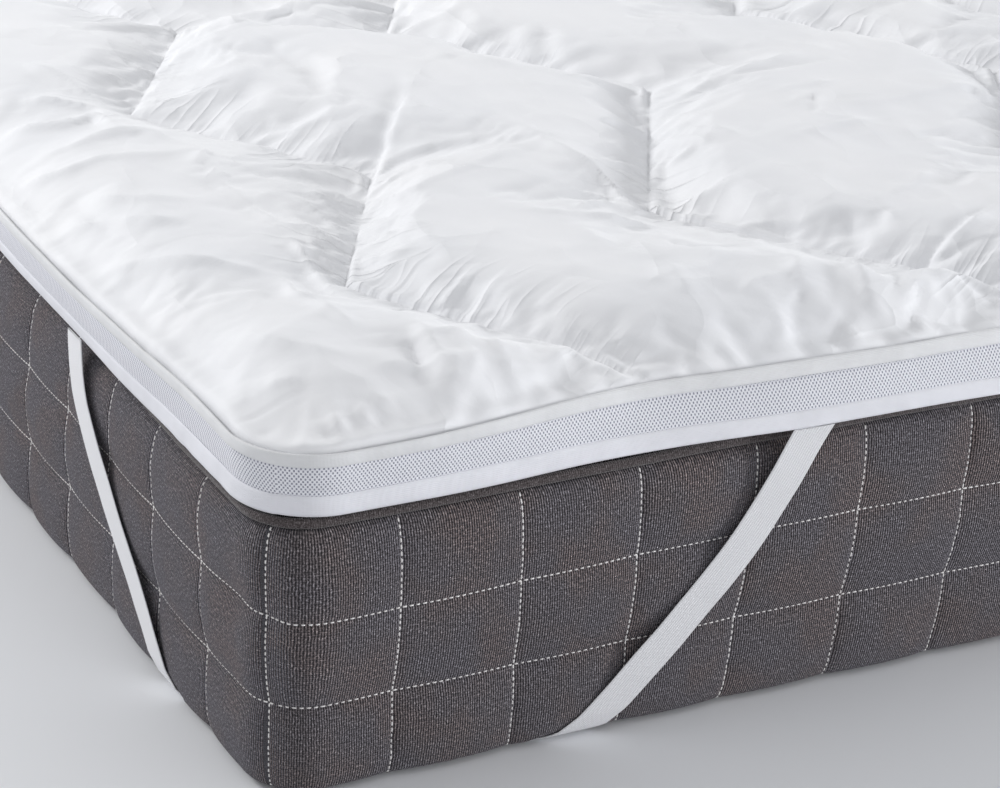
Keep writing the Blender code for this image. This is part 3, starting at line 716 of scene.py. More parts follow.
# Creases that the photograph shows, as height, half width and points in its 1000 x 788 pixels,
# read in enlarged views. Troughs are negative
FOLDS = (
    # Pleats beside the left border
    fold(5, 22, (0, 195.9), (23.2, 194.3), (66.3, 182.7), (106.1, 166.1), (149.3, 161.1), (185.7, 156.1)),
    fold(
        5, 16, (0, 136.9), (19.9, 134.6), (53.1, 129.6), (73, 124.6),
        (92.9, 114.7), (109.5, 121.3), (116.1, 131.3),
    ),
    fold(4, 16, (53.1, 159.5), (82.9, 149.5), (112.8, 139.6), (145.9, 136.9), (179.1, 146.2)),
    fold(4.5, 18, (0, 111.4), (19.9, 103.1), (43.1, 99.8), (73, 99.8), (99.5, 103.1), (122.7, 121.3)),
    fold(4, 20, (0, 66.6), (33.2, 69.9), (66.3, 79.9), (99.5, 94.8), (122.7, 103.1), (132.7, 111.4)),
    # Round the first seam's near bend
    fold(3, 8, (212.3, 152.8), (204, 164.4), (197.3, 174.4)),
    fold(2.5, 8, (209, 166.1), (220.6, 176), (232.2, 182.7)),
    fold(2.2, 9, (212.3, 179.4), (232.2, 192.6), (252.1, 205.9), (281.9, 225.8), (301.8, 235.7)),
    fold(4, 12, (285.2, 230.8), (293.5, 235.7), (305.1, 249), (328.4, 275.5), (341.6, 295.4)),
    # Between the left border and the near corner
    fold(2.5, 14, (76.3, 204.2), (112.8, 205.9), (159.2, 204.2), (205.6, 204.2)),
    fold(-2, 9, (76.3, 204.2), (96.2, 222.5), (122.7, 240.7)),
    fold(3, 18, (51.4, 252.3), (63, 245.7), (82.9, 235.7), (109.5, 229.1), (159.2, 227.4), (199, 225.8)),
    fold(4, 22, (79.6, 282.2), (132.7, 275.5), (185.7, 268.9), (238.8, 267.2), (285.2, 267.2)),
    fold(3.5, 12, (285.2, 270.6), (291.9, 282.2), (298.5, 293.8), (318.4, 296.1), (338.3, 298.1)),
    fold(2.5, 12, (99.5, 308.7), (112.8, 295.4), (139.3, 283.8)),
    # Beside the second seam
    fold(-6, 16, (368.2, 172.7), (374.8, 146.2), (384.7, 129.6), (398, 106.4), (399.7, 86.5)),
    fold(3, 12, (374.8, 171.1), (382.1, 146.2), (393, 127.9), (406.3, 104.7), (409.6, 86.5)),
    fold(3, 12, (368.2, 166.1), (388.1, 146.2), (431.2, 141.2), (480.9, 141.2), (497.5, 144.5)),
    fold(2.5, 10, (369.8, 177.7), (388.1, 169.4), (411.3, 167.7), (464.3, 167.7)),
    fold(3, 14, (398, 195.9), (424.5, 192.6), (464.3, 177.7), (497.5, 166.1), (517.4, 161.1)),
    # A fan from the seam towards the left
    fold(1.6, 7, (361.5, 192.6), (331.7, 181), (298.5, 166.1), (275.3, 159.5)),
    fold(1.6, 7, (358.2, 205.9), (325, 192.6), (291.9, 179.4), (265.3, 166.1)),
    fold(1.6, 7, (354.9, 222.5), (325, 205.9), (298.5, 195.9), (281.9, 192.6)),
    fold(1.8, 8, (348.3, 242.4), (318.4, 225.8), (298.5, 215.8), (285.2, 199.3)),
    fold(1.8, 8, (344.9, 262.3), (318.4, 242.4), (308.5, 225.8)),
    # Towards the photograph's top edge
    fold(4, 26, (278.6, 60), (255.4, 76.5), (232.2, 89.8), (212.3, 96.4)),
    fold(4, 22, (351.6, 56.6), (338.3, 83.2), (331.7, 109.7), (331.7, 129.6)),
    fold(3, 16, (457.7, 63.3), (490.9, 69.9), (517.4, 74.9)),
    # In the middle cell
    fold(4.5, 14, (529.8, 142.9), (562.9, 159.5), (609.4, 176), (622.6, 186), (642.5, 209.2)),
    fold(3.5, 10, (576.2, 220.8), (592.8, 205.9), (625.9, 195.9)),
    fold(3, 10, (576.2, 220.8), (619.3, 219.8), (662.4, 217.5)),
    fold(2, 10, (516.5, 215.8), (546.3, 219.2), (576.2, 220.8)),
    fold(2.5, 12, (480, 174.4), (499.9, 162.8), (519.8, 157.8)),
    fold(2.5, 14, (480, 141.2), (529.8, 142.9), (576.2, 144.5)),
    # Towards the right
    fold(6, 20, (816.7, 113), (871.4, 113), (921.1, 103.1), (967.6, 93.1), (1000.1, 104.7)),
    fold(2.5, 8, (788.5, 113), (808.4, 103.1), (813.3, 96.4)),
    fold(-2.5, 7, (811.7, 96.4), (815.7, 109.7), (816.7, 124.6)),
    fold(3, 14, (785.1, 146.2), (838.2, 132.9), (888, 126.3)),
    fold(2.5, 12, (771.9, 101.4), (798.4, 94.8), (838.2, 88.1)),
    fold(4, 22, (665.7, 93.1), (712.2, 79.9), (778.5, 66.6), (811.7, 60)),
    fold(2.5, 14, (679, 126.3), (712.2, 134.6), (745.3, 144.5)),
    fold(3, 12, (884.6, 202.6), (911.2, 192.6), (934.4, 176)),
    fold(-3.5, 10, (924.4, 268.9), (937.7, 245.7), (960.9, 232.4), (994.1, 212.5)),
    fold(3, 10, (934.4, 268.9), (946, 249), (967.6, 237.4), (997.4, 219.2)),
    fold(-2.5, 14, (848.2, 209.2), (861.4, 239.1)),
    fold(1.5, 8, (665.7, 156.1), (685.6, 149.5), (705.5, 146.2)),
    # Along the front border
    fold(-2.2, 7, (655.8, 239.1), (672.4, 242.4), (692.3, 250.7), (732.1, 249), (748.7, 255.6)),
    fold(3, 12, (672.4, 275.5), (685.6, 295.4), (705.5, 325.3)),
    fold(3, 16, (728.8, 262.3), (712.2, 282.2), (692.3, 288.8)),
    fold(3, 12, (795.1, 262.3), (805, 298.8), (818.3, 325.3)),
    fold(4, 13, (851.5, 262.3), (864.7, 295.4), (874.7, 325.3)),
    fold(2.5, 12, (752, 325.3), (761.9, 305.4), (788.5, 295.4)),
    fold(2.5, 12, (941, 282.2), (960.9, 283.8), (977.5, 287.1)),
    # At the near corner
    fold(4, 26, (203.9, 349.4), (234.2, 351.6), (275.4, 354.8), (310.1, 358.1), (353.5, 366.7)),
    fold(4, 9, (418.5, 326.6), (425, 345), (429.3, 351.6), (440.2, 375.4), (444.5, 388.4), (443.4, 410.1)),
    fold(-3, 9, (407.7, 342.9), (416.3, 366.7), (422.8, 384.1)),
    fold(2.2, 8, (429.3, 351.6), (440.2, 346.1), (461.9, 344), (474.9, 346.1)),
    fold(3, 8, (448.9, 371.1), (457.5, 388.4), (455.4, 414.4)),
    fold(3, 8, (477.1, 366.7), (479.2, 388.4), (464, 420.9)),
    fold(2.5, 9, (496.6, 347.2), (511.7, 388.4), (520, 405.8)),
    fold(2, 14, (364.3, 388.4), (379.5, 379.7), (396.8, 376.5), (420.7, 380.8)),
    fold(2, 12, (223.4, 416.6), (247.2, 409)),
    fold(1.8, 8, (297.1, 294.1), (331.8, 316.9), (353.5, 332), (375.1, 345)),
    fold(1.8, 6, (312.3, 431.8), (318.8, 444.8)),
    fold(2.2, 6, (329.6, 427.4), (340.5, 447)),
    fold(2.2, 6, (357.8, 418.8), (370.8, 442.6)),
    fold(2, 7, (375.1, 410.1), (396.8, 436.1)),
    fold(2, 14, (260.2, 399.3), (301.4, 391.7)),
)

# Columns between one seam and the next, and rows: from, to and how far apart
PAD_STRIPS = (62, 86, 78, 26, 22)
PAD_ROW_STRETCHES = (
    (-1.000, -0.700, 0.0031),
    (-0.700, -0.400, 0.0040),
    (-0.400, -0.050, 0.0055),
    (-0.050, 1.000, 0.0112),
)


def pad_grid():
    """The pad's columns follow the quilting, so each row is cut at the same places between seams."""
    rows = []
    for low, high, step in PAD_ROW_STRETCHES:
        rows.append(np.linspace(low, high, round((high - low) / step), endpoint=False))
    ys = np.concatenate([*rows, [1.0]])
    crossings = [np.full(ys.shape, -WIDTH / 2)]
    crossings += [np.interp(ys, line[:, 1], line[:, 0]) for line in QUILT_LINES]
    crossings += [np.full(ys.shape, WIDTH / 2)]
    columns = []
    for low, high, count in zip(crossings, crossings[1:], PAD_STRIPS):
        part = np.arange(count) / count
        part = 0.72 * part + 0.28 * (0.5 - 0.5 * np.cos(math.pi * part))
        columns.append(low[:, None] + (high - low)[:, None] * part)
    xs = np.concatenate([*columns, crossings[-1][:, None]], 1)
    return xs, np.broadcast_to(ys[:, None], xs.shape)


def rounded(x, y):
    """Carries points of the square grid to the topper's outline with its round corners."""
    across = np.maximum(np.abs(x) - (WIDTH / 2 - TOPPER_CORNER), 0) / TOPPER_CORNER
    along = np.maximum(np.abs(y) - (LENGTH / 2 - TOPPER_CORNER), 0) / TOPPER_CORNER
    moved_x = np.sign(x) * TOPPER_CORNER * across * (np.sqrt(1 - along**2 / 2) - 1)
    moved_y = np.sign(y) * TOPPER_CORNER * along * (np.sqrt(1 - across**2 / 2) - 1)
    return x + moved_x, y + moved_y


def settled(x, y):
    """Moves points of the pad in beside a border that leans in."""
    moved_x, moved_y = x.copy(), y.copy()
    runs = (x, y, -x, -y)
    depths = (y + LENGTH / 2, WIDTH / 2 - x, LENGTH / 2 - y, x + WIDTH / 2)
    facing = ((0, -1), (1, 0), (0, 1), (-1, 0))
    for side, (run, depth, normal) in enumerate(zip(runs, depths, facing)):
        out, _ = border_point(TOPPER_LINE.starts[side] + TOPPER_LINE.sides[side] / 2 + run, RIM_SHARE)
        shift = (out - RIM_INSET) * (1 - smooth(depth / SETTLE_REACH))
        moved_x += normal[0] * shift
        moved_y += normal[1] * shift
    return moved_x, moved_y


def seam_distances(x, y):
    """The distance to the nearest quilting line, and where along the lines that is."""
    found = [polyline_distance(x, y, line) for line in QUILT_LINES]
    far = np.stack([part[0] for part in found])
    nearest = far.argmin(0)
    runs = np.stack([part[2] + 5 * k for k, part in enumerate(found)])
    return far.min(0), np.take_along_axis(runs, nearest[None], 0)[0]


CREST_ROUND = 0.0010
FOLD_GAIN = 1.6
STEEP_SIDE, GENTLE_SIDE = 1.7, 0.72
# The creases are steeper on the side towards the foot end and the left
LOW_SIDE = (-0.43, -0.81)
# Above this height over the rim the pad's peaks are held down
FREE_HEIGHT, PEAK_ROOM = CROWN + 0.004, 0.012


def folds_rise(x, y):
    """How far the creases lift the cloth."""
    rise = np.zeros(x.shape)
    for number, crease in enumerate(FOLDS):
        reach = 3 * crease.width
        low, high = crease.points.min(0) - reach, crease.points.max(0) + reach
        near = (x > low[0]) & (x < high[0]) & (y > low[1]) & (y < high[1])
        line = curve_through(crease.points, 6 * len(crease.points))
        far, hand, along, length = polyline_distance(x[near], y[near], line)
        run = crease.points[-1] - crease.points[0]
        steep = hand * np.sign(run[0] * LOW_SIDE[1] - run[1] * LOW_SIDE[0]) > 0
        far = far * np.where(steep, STEEP_SIDE, GENTLE_SIDE)
        taper = smooth(along / (0.30 * length)) * smooth((length - along) / (0.30 * length))
        uneven = 1 + 0.25 * noise(along / 0.022, number, 71)
        ridge = np.exp(-(np.sqrt(far**2 + CREST_ROUND**2) - CREST_ROUND) / (0.75 * crease.width))
        ridge = ridge * (1 - smooth((far - 2 * crease.width) / crease.width))
        rise[near] += FOLD_GAIN * crease.height * (0.25 + 0.75 * taper) * uneven * ridge
    return rise


def creased(x, y, seed):
    """Bowls about one unit across that meet in sharp ridges, from 0 to about 1."""
    ix, iy = np.floor(x), np.floor(y)
    nearest = np.full(x.shape, 9.0)
    for a in (-1, 0, 1):
        for b in (-1, 0, 1):
            cx, cy = ix + a, iy + b
            px, py = cx + lattice(cx, cy, seed), cy + lattice(cx, cy, seed + 1)
            nearest = np.minimum(nearest, (x - px) ** 2 + (y - py) ** 2)
    return nearest


def scallops(place, away, pitch, reach, seed):
    """Narrow ridges a pitch apart along an edge, running away from it."""
    bend = 0.4 * noise(place / 0.1, away / 0.05, 98)
    return 0.0034 * ((1 - np.abs(noise(place / pitch + bend, away / reach, seed))) ** 3 - 0.3)


def wrinkles(x, y, seam, along):
    """Puckers beside the seams and the border, and the cloth's own looseness."""
    place, inside = TOPPER_LINE.locate(x, y)
    near_seam = np.exp(-seam / 0.030)
    pucker = 0.0011 * noise(along / 0.011, seam / 0.060, 81) + 0.0009 * noise(along / 0.024, seam / 0.080, 82)
    rise = pucker * near_seam * (1 - np.exp(-seam / 0.004))
    gather = 0.0010 * noise(place / 0.010, inside / 0.050, 83)
    gather = gather + 0.0011 * noise(place / 0.026, inside / 0.070, 84)
    rise += gather * np.exp(-np.maximum(inside, 0) / 0.040)
    by_border = np.exp(-np.maximum(inside, 0) / 0.055) * smooth(0.6 + noise(place / 0.13, 1, 97))
    rise += scallops(place, inside, 0.034, 0.16, 96) * by_border
    by_seam = smooth((0.090 - seam) / 0.080) * (1 - np.exp(-seam / 0.006))
    by_seam = by_seam * smooth(0.6 + noise(along / 0.12, 2, 99))
    rise += scallops(along, seam, 0.030, 0.15, 95) * by_seam
    warp_x = x + 0.020 * noise(x / 0.11, y / 0.11, 85)
    warp_y = y + 0.020 * noise(x / 0.11, y / 0.11, 86)
    pulled = warp_x * 0.80 + warp_y * 0.60, warp_y * 0.80 - warp_x * 0.60
    some = smooth(0.5 + 1.2 * noise(x / 0.16, y / 0.16, 90))
    clear = 1 - np.exp(-seam / 0.014)
    rise += 0.0042 * some * clear * (creased(pulled[0] / 0.115, pulled[1] / 0.060, 91) - 0.2)
    other = smooth(0.5 + 1.2 * noise(x / 0.12, y / 0.12, 92))
    rise += 0.0026 * other * clear * (creased(warp_x / 0.030, warp_y / 0.055, 93) - 0.2)
    rise += 0.0012 * noise(warp_x / 0.085, warp_y / 0.070, 88) * smooth(seam / 0.05)
    return rise


# The pad's small roll beside the border: where, how wide, how high, and how far out it leans
LIP_PLACE, LIP_WIDTH, LIP_HEIGHT, LIP_OUT = 0.007, 0.006, 0.0022, 0.0036
# How much of the cloth's looseness shows at the left edge, and how much more away from it
LOOSE_LEFT, LOOSE_MORE, LOOSE_REACH = 0.22, 0.48, 0.30
CLOTH_SLACK = 0.035
CLOTH_FRAMES = 22
CLOTH_MOST = 0.012


def doubled(values):
    """Twice as fine a grid along its first side, on a smooth curve through the values."""
    padded = np.concatenate([2 * values[:1] - values[1:2], values, 2 * values[-1:] - values[-2:-1]])
    middles = (9 * (padded[1:-2] + padded[2:-1]) - padded[:-3] - padded[3:]) / 16
    fine = np.empty((2 * len(values) - 1, *values.shape[1:]))
    fine[::2], fine[1::2] = values, middles
    return fine


def loosened(grid):
    """How loose cloth, sewn down at the seams and the border, moves off the pad's even shape."""
    coarse = grid[::2, ::2]
    rows, columns = coarse.shape[:2]
    sheet = new_mesh("loose_cloth", coarse, grid_faces(rows, columns))
    held = np.zeros((rows, columns), bool)
    held[:, (np.cumsum((0, *PAD_STRIPS)) // 2)] = True
    held[[0, -1]] = True
    group = sheet.vertex_groups.new(name="sewn")
    group.add([int(i) for i in np.flatnonzero(held)], 1.0, "REPLACE")
    cloth = sheet.modifiers.new("Cloth", "CLOTH")
    settings = cloth.settings
    settings.quality = 5
    settings.mass = 0.10
    settings.air_damping = 2.0
    settings.tension_stiffness, settings.compression_stiffness, settings.shear_stiffness = 18.0, 18.0, 6.0
    settings.bending_stiffness = 0.06
    settings.shrink_min = -CLOTH_SLACK
    settings.vertex_group_mass = "sewn"
    settings.use_pressure = True
    settings.uniform_pressure_force = 0.25
    settings.effector_weights.gravity = 0.0
    cloth.point_cache.frame_end = CLOTH_FRAMES
    scene = bpy.context.scene
    for frame_number in range(1, CLOTH_FRAMES + 1):
        scene.frame_set(frame_number)
    result = np.empty(coarse.size, np.float32)
    moved = sheet.evaluated_get(bpy.context.evaluated_depsgraph_get())
    moved.data.vertices.foreach_get("co", result)
    scene.frame_set(1)
    bpy.data.objects.remove(sheet)
    change = result.reshape(coarse.shape) - coarse
    size = np.linalg.norm(change, axis=-1, keepdims=True)
    change = change * np.minimum(1.0, CLOTH_MOST / np.maximum(size, 1e-9))
    return np.moveaxis(doubled(np.moveaxis(doubled(change), 1, 0)), 0, 1)


def make_pad(finish):
    """The filled pad, drawn down along the quilting."""
    x, y = pad_grid()
    flat_x, flat_y = rounded(x, y)
    seam, along = seam_distances(flat_x, flat_y)
    rim = border_point(0.0, RIM_SHARE)[1]
    edge = puffed((WIDTH / 2 - np.abs(x)) / RIM_REACH) * puffed((LENGTH / 2 - np.abs(y)) / RIM_REACH)
    place, inside = TOPPER_LINE.locate(flat_x, flat_y)
    open_seam = seam / SEAM_WIDTH
    dip = 0.80 * np.clip(1 - open_seam, 0, 1) ** 2.2 + 0.20 * np.exp(-seam / 0.008)
    rise = CROWN * edge * (1 - SEAM_DEPTH * dip)
    fade = smooth((WIDTH / 2 - np.abs(x)) / 0.02) * smooth((LENGTH / 2 - np.abs(y)) / 0.02)
    moved_x, moved_y = settled(flat_x, flat_y)
    lip = np.exp(-(((inside - LIP_PLACE) / LIP_WIDTH) ** 2))
    normal = TOPPER_LINE.at(place)[1]
    rays = np.stack([along.ravel(), seam.ravel()], 1)
    grid = np.stack([moved_x, moved_y, rim + rise + LIP_HEIGHT * lip], -1)
    grid[..., :2] += LIP_OUT * lip[..., None] * normal
    extra = (folds_rise(flat_x, flat_y) + wrinkles(flat_x, flat_y, seam, along)) * fade
    freely = LOOSE_LEFT + LOOSE_MORE * smooth((flat_x + WIDTH / 2) / LOOSE_REACH)
    loose = loosened(grid) * freely[..., None]
    grid[..., :2] += loose[..., :2]
    extra = extra + loose[..., 2]
    height = rise + LIP_HEIGHT * lip + extra
    peak = FREE_HEIGHT + PEAK_ROOM * np.tanh((height - FREE_HEIGHT) / PEAK_ROOM)
    grid[..., 2] = rim + np.where(height > FREE_HEIGHT, peak, height)
    rows, columns = x.shape
    ring = np.concatenate([
        np.arange(columns), np.arange(1, rows) * columns + columns - 1,
        (rows - 1) * columns + np.arange(columns - 2, -1, -1), np.arange(rows - 2, 0, -1) * columns,
    ])
    place, _ = TOPPER_LINE.locate(flat_x.ravel()[ring], flat_y.ravel()[ring])
    walls = []
    for share in (RIM_SHARE, 0.6, 0.3, 0.03):
        out, height = border_point(place, share)
        walls.append(placed(TOPPER_LINE, place, out - RIM_INSET, height))
    points = grid.reshape(-1, 3)
    points[ring] = walls[0]
    points = np.concatenate([points, *walls[1:]])
    count, total = len(ring), rows * columns
    upper, quads = ring, [grid_faces(rows, columns)]
    for level in range(3):
        lower = total + level * count + np.arange(count)
        quads.append(np.stack([lower, np.roll(lower, -1), np.roll(upper, -1), upper], -1))
        upper = lower
    quads = [np.concatenate(quads), upper[::-1][None, :]]
    uvs = np.zeros((len(points), 2))
    uvs[:total] = rays
    pad = new_mesh("pad_cover", points, quads, uvs, finish)
    return dress(pad, "topper_pad", "topper_pad")


class Graph:
    """A material's nodes, wired by name."""

    def __init__(self, name, **values):
        self.material = bpy.data.materials.new(name)
        self.material.use_nodes = True
        self.tree = self.material.node_tree
        self.shader = self.tree.nodes["Principled BSDF"]
        for key, value in values.items():
            self.shader.inputs[key.replace("_", " ")].default_value = value

    def node(self, kind, *inputs, **settings):
        made = self.tree.nodes.new("ShaderNode" + kind)
        for key, value in settings.items():
            setattr(made, key, value)
        for socket, value in zip(made.inputs, inputs):
            self.feed(socket, value)
        return made

    def feed(self, socket, value):
        if isinstance(value, bpy.types.NodeSocket):
            self.tree.links.new(value, socket)
        elif value is not None:
            socket.default_value = value

    def math(self, operation, *inputs, clamp=False):
        return self.node("Math", *inputs, operation=operation, use_clamp=clamp).outputs[0]

    def noise(self, where, scale, detail=2.0, roughness=0.5):
        made = self.node("TexNoise")
        self.feed(made.inputs["Vector"], where)
        made.inputs["Scale"].default_value = scale
        made.inputs["Detail"].default_value = detail
        made.inputs["Roughness"].default_value = roughness
        return made.outputs[0]

    def stretched(self, where, *scale):
        return self.node("Mapping", where, None, None, scale).outputs[0]

    def ramp(self, value, *stops):
        made = self.node("ValToRGB", value)
        elements = made.color_ramp.elements
        while len(elements) < len(stops):
            elements.new(0.5)
        for element, (position, colour) in zip(elements, stops):
            element.position = position
            element.color = (*colour, 1.0)
        return made.outputs[0]

    def spread(self, value, low, high, to_low=0.0, to_high=1.0):
        made = self.node("MapRange", value, low, high, to_low, to_high)
        return made.outputs[0]

    def mix(self, factor, a, b, blend="MIX"):
        made = self.node("MixRGB", factor, a, b, blend_type=blend)
        return made.outputs[0]

    def bump(self, height, distance, strength=1.0, normal=None):
        made = self.node("Bump")
        made.inputs["Strength"].default_value = strength
        made.inputs["Distance"].default_value = distance
        self.feed(made.inputs["Height"], height)
        self.feed(made.inputs["Normal"], normal)
        return made.outputs[0]

    def finish(self, colour=None, normal=None, roughness=None):
        for key, value in (("Base Color", colour), ("Normal", normal), ("Roughness", roughness)):
            if value is not None:
                self.feed(self.shader.inputs[key], value)
        return self.material


def flat_uv(graph):
    """The surface's own measures in metres: along it, up it."""
    where = graph.node("UVMap", uv_map="Flat").outputs[0]
    parts = graph.node("SeparateXYZ", where).outputs
    return where, parts[0], parts[1]


def waves(graph, coordinate, pitch):
    return graph.math("SINE", graph.math("MULTIPLY", coordinate, 2 * math.pi / pitch))


def knit_finish():
    """Heathered rib knit: brown yarn with blue-grey and light flecks, with painted shade in the grooves
    between the ribs and a painted highlight on their crests.
    """
    g = Graph("heather_knit", Roughness=0.85, Specular_IOR_Level=0.3, Sheen_Weight=0.30, Sheen_Roughness=0.4)
    g.shader.inputs["Sheen Tint"].default_value = (0.66, 0.70, 0.82, 1)
    where, along, up = flat_uv(g)
    wander = g.noise(where, 90.0)
    ribs = waves(g, g.math("ADD", along, g.math("MULTIPLY", wander, 0.0016)), 0.0020)
    courses = waves(g, g.math("ADD", up, g.math("MULTIPLY", wander, 0.0012)), 0.0019)
    loops = g.math("ADD", g.math("MULTIPLY", ribs, 0.80), g.math("MULTIPLY", courses, 0.20))
    fleck = g.noise(g.stretched(where, 1.0, 0.60, 1.0), 760.0, 2.0, 0.8)
    patches = g.noise(where, 16.0, 2.0, 0.5)
    yarn = g.ramp(
        fleck, (0.35, (0.010, 0.008, 0.009)), (0.46, (0.080, 0.064, 0.066)), (0.56, (0.195, 0.160, 0.164)),
        (0.67, (0.620, 0.560, 0.565)),
    )
    cool = g.mix(g.spread(patches, 0.42, 0.62), yarn, (0.93, 0.99, 1.08, 1), "MULTIPLY")
    warm = g.mix(g.spread(patches, 0.52, 0.34), cool, (1.09, 0.98, 0.92, 1), "MULTIPLY")
    # Painted shade: the grooves between the ribs, where the bump is low, are darkened towards near black
    groove_shade = g.mix(g.spread(loops, -0.80, 0.20, 0.92, 0.0), warm, (0.010, 0.008, 0.010, 1))
    # Painted highlight: the ribs' crests, where the bump is high, are lightened
    crest_highlight = g.mix(g.spread(loops, 0.35, 0.95, 0.0, 0.40), groove_shade, (0.400, 0.365, 0.370, 1))
    relief = g.math("ADD", g.math("MULTIPLY", loops, 0.7), g.math("MULTIPLY", fleck, 0.9))
    return g.finish(crest_highlight, g.bump(relief, 0.0011, 1.0))


def welt_finish():
    """Ribbed knit drawn round the welt's cord."""
    g = Graph("welt_rib", Roughness=0.9, Specular_IOR_Level=0.25, Sheen_Weight=0.4, Sheen_Roughness=0.4)
    where, along, _ = flat_uv(g)
    ribs = waves(g, g.math("ADD", along, g.math("MULTIPLY", g.noise(where, 120.0), 0.0020)), 0.0018)
    speckle = g.noise(where, 600.0, 3.0, 0.8)
    base = g.ramp(
        speckle, (0.34, (0.018, 0.014, 0.014)), (0.52, (0.090, 0.075, 0.076)), (0.68, (0.260, 0.235, 0.240)),
    )
    # Painted shade: darker in the grooves between the ribs, where the bump is low
    shade = g.mix(g.spread(ribs, -1.0, 0.5, 0.35, 0.0), base, (0.030, 0.025, 0.025, 1))
    return g.finish(shade, g.bump(g.math("ADD", g.math("MULTIPLY", ribs, 0.4), speckle), 0.0005, 0.8))


def thread_finish():
    g = Graph("stitch_thread", Roughness=0.65, Sheen_Weight=0.3, Specular_IOR_Level=0.4)
    place = g.node("TexCoord").outputs["Object"]
    tint = g.ramp(g.noise(place, 90.0), (0.35, (0.86, 0.83, 0.81)), (0.65, (0.96, 0.94, 0.93)))
    twist = g.noise(place, 2400.0)
    return g.finish(tint, g.bump(twist, 0.0002, 0.5))


def terry_finish():
    g = Graph("terry_knit", Roughness=0.95, Sheen_Weight=0.5, Specular_IOR_Level=0.2)
    place = g.node("TexCoord").outputs["Object"]
    loops = g.node("TexVoronoi", place)
    loops.inputs["Scale"].default_value = 420.0
    # Painted shade: darker away from each loop's middle, where the bump sinks between the loops
    tint = g.ramp(loops.outputs["Distance"], (0.0, (0.86, 0.80, 0.78)), (0.7, (0.62, 0.54, 0.52)))
    return g.finish(tint, g.bump(loops.outputs["Distance"], 0.0012, -0.8))


def seam_rays(graph, where, stretch, scale, low, high, power):
    """Thin lines that run away from the seams."""
    rays = graph.noise(graph.stretched(where, 1.0, stretch, 1.0), scale, 1.0, 0.5)
    off_line = graph.math("ABSOLUTE", graph.spread(rays, low, high, -1.0, 1.0))
    return graph.math("POWER", graph.math("SUBTRACT", 1.0, off_line), power)


def cotton_finish():
    """Fine downproof cotton, with small creases where it is gathered into the seams."""
    g = Graph("pad_cotton", Roughness=0.72, Specular_IOR_Level=0.25, Sheen_Weight=0.20, Sheen_Roughness=0.40)
    place = g.node("TexCoord").outputs["Object"]
    tint = g.ramp(g.noise(place, 6.0, 4.0), (0.35, (0.875, 0.882, 0.905)), (0.65, (0.905, 0.908, 0.925)))
    weft = g.noise(g.stretched(place, 1.0, 12.0, 1.0), 260.0, 2.0)
    warp = g.noise(g.stretched(place, 12.0, 1.0, 1.0), 260.0, 2.0)
    crumple = g.noise(place, 60.0, 3.0, 0.6)
    bent = g.mix(0.10, place, g.node("TexNoise", place).outputs["Color"])
    folds = g.node("TexVoronoi", g.stretched(bent, 1.0, 0.6, 1.0))
    folds.inputs["Scale"].default_value = 22.0
    patchy = g.spread(g.noise(place, 9.0), 0.46, 0.62)
    sharp = g.math("MULTIPLY", g.math("POWER", folds.outputs["Distance"], 2.0), patchy)
    where, _, seam = flat_uv(g)
    long_rays = seam_rays(g, where, 0.16, 36.0, 0.40, 0.60, 2.0)
    some = g.spread(g.noise(place, 7.0), 0.44, 0.60)
    some = g.math("MULTIPLY", g.spread(seam, 0.0, 0.085, 1.0, 0.0), some)
    short_rays = seam_rays(g, where, 0.10, 80.0, 0.3, 0.7, 3.0)
    near = g.spread(g.noise(place, 15.0), 0.42, 0.66)
    near = g.math("MULTIPLY", g.spread(seam, 0.0, 0.045, 1.0, 0.0), near)
    relief = g.bump(g.math("ADD", weft, warp), 0.00018, 0.4)
    relief = g.bump(crumple, 0.0010, 0.25, relief)
    relief = g.bump(sharp, 0.0065, 0.8, relief)
    relief = g.bump(g.math("MULTIPLY", long_rays, some), 0.0016, 0.9, relief)
    return g.finish(tint, g.bump(g.math("MULTIPLY", short_rays, near), 0.0009, 0.8, relief))


def tape_finish(name, colour, roughness):
    g = Graph(name, Roughness=roughness, Specular_IOR_Level=0.42, Sheen_Weight=0.2)
    where, along, up = flat_uv(g)
    ribs = g.math("ADD", waves(g, along, 0.0009), waves(g, up, 0.0012))
    shade = tuple(0.93 * part for part in colour)
    tint = g.ramp(g.noise(where, 30.0, 3.0), (0.35, shade), (0.65, colour))
    soft = g.noise(g.stretched(where, 1.0, 0.35, 1.0), 110.0, 2.0)
    return g.finish(tint, g.bump(soft, 0.0010, 0.35, g.bump(ribs, 0.00015, 0.6)))


def spacer_finish():
    """Knitted mesh with rows of small holes, each row half a hole along from the last, with painted shade in
    the holes.
    """
    g = Graph("spacer_mesh", Roughness=0.75, Specular_IOR_Level=0.3, Sheen_Weight=0.2)
    where, along, up = flat_uv(g)
    shift = g.math("MULTIPLY", g.noise(where, 160.0), 0.0004)
    a = g.math("COSINE", g.math("MULTIPLY", g.math("ADD", along, shift), 2 * math.pi / 0.0031))
    b = g.math("COSINE", g.math("MULTIPLY", g.math("ADD", up, shift), 2 * math.pi / 0.0042))
    holes = g.spread(g.math("MULTIPLY", a, b), 0.12, 0.75)
    yarn = g.noise(where, 900.0, 2.0)
    thread = g.ramp(yarn, (0.3, (0.84, 0.845, 0.91)), (0.7, (0.94, 0.945, 0.99)))
    # Painted shade: each hole is coloured dark blue-grey for the shade inside it
    tint = g.mix(holes, thread, (0.33, 0.34, 0.43, 1))
    relief = g.math("SUBTRACT", g.math("MULTIPLY", yarn, 0.3), holes)
    return g.finish(tint, g.bump(relief, 0.0012, 0.9))


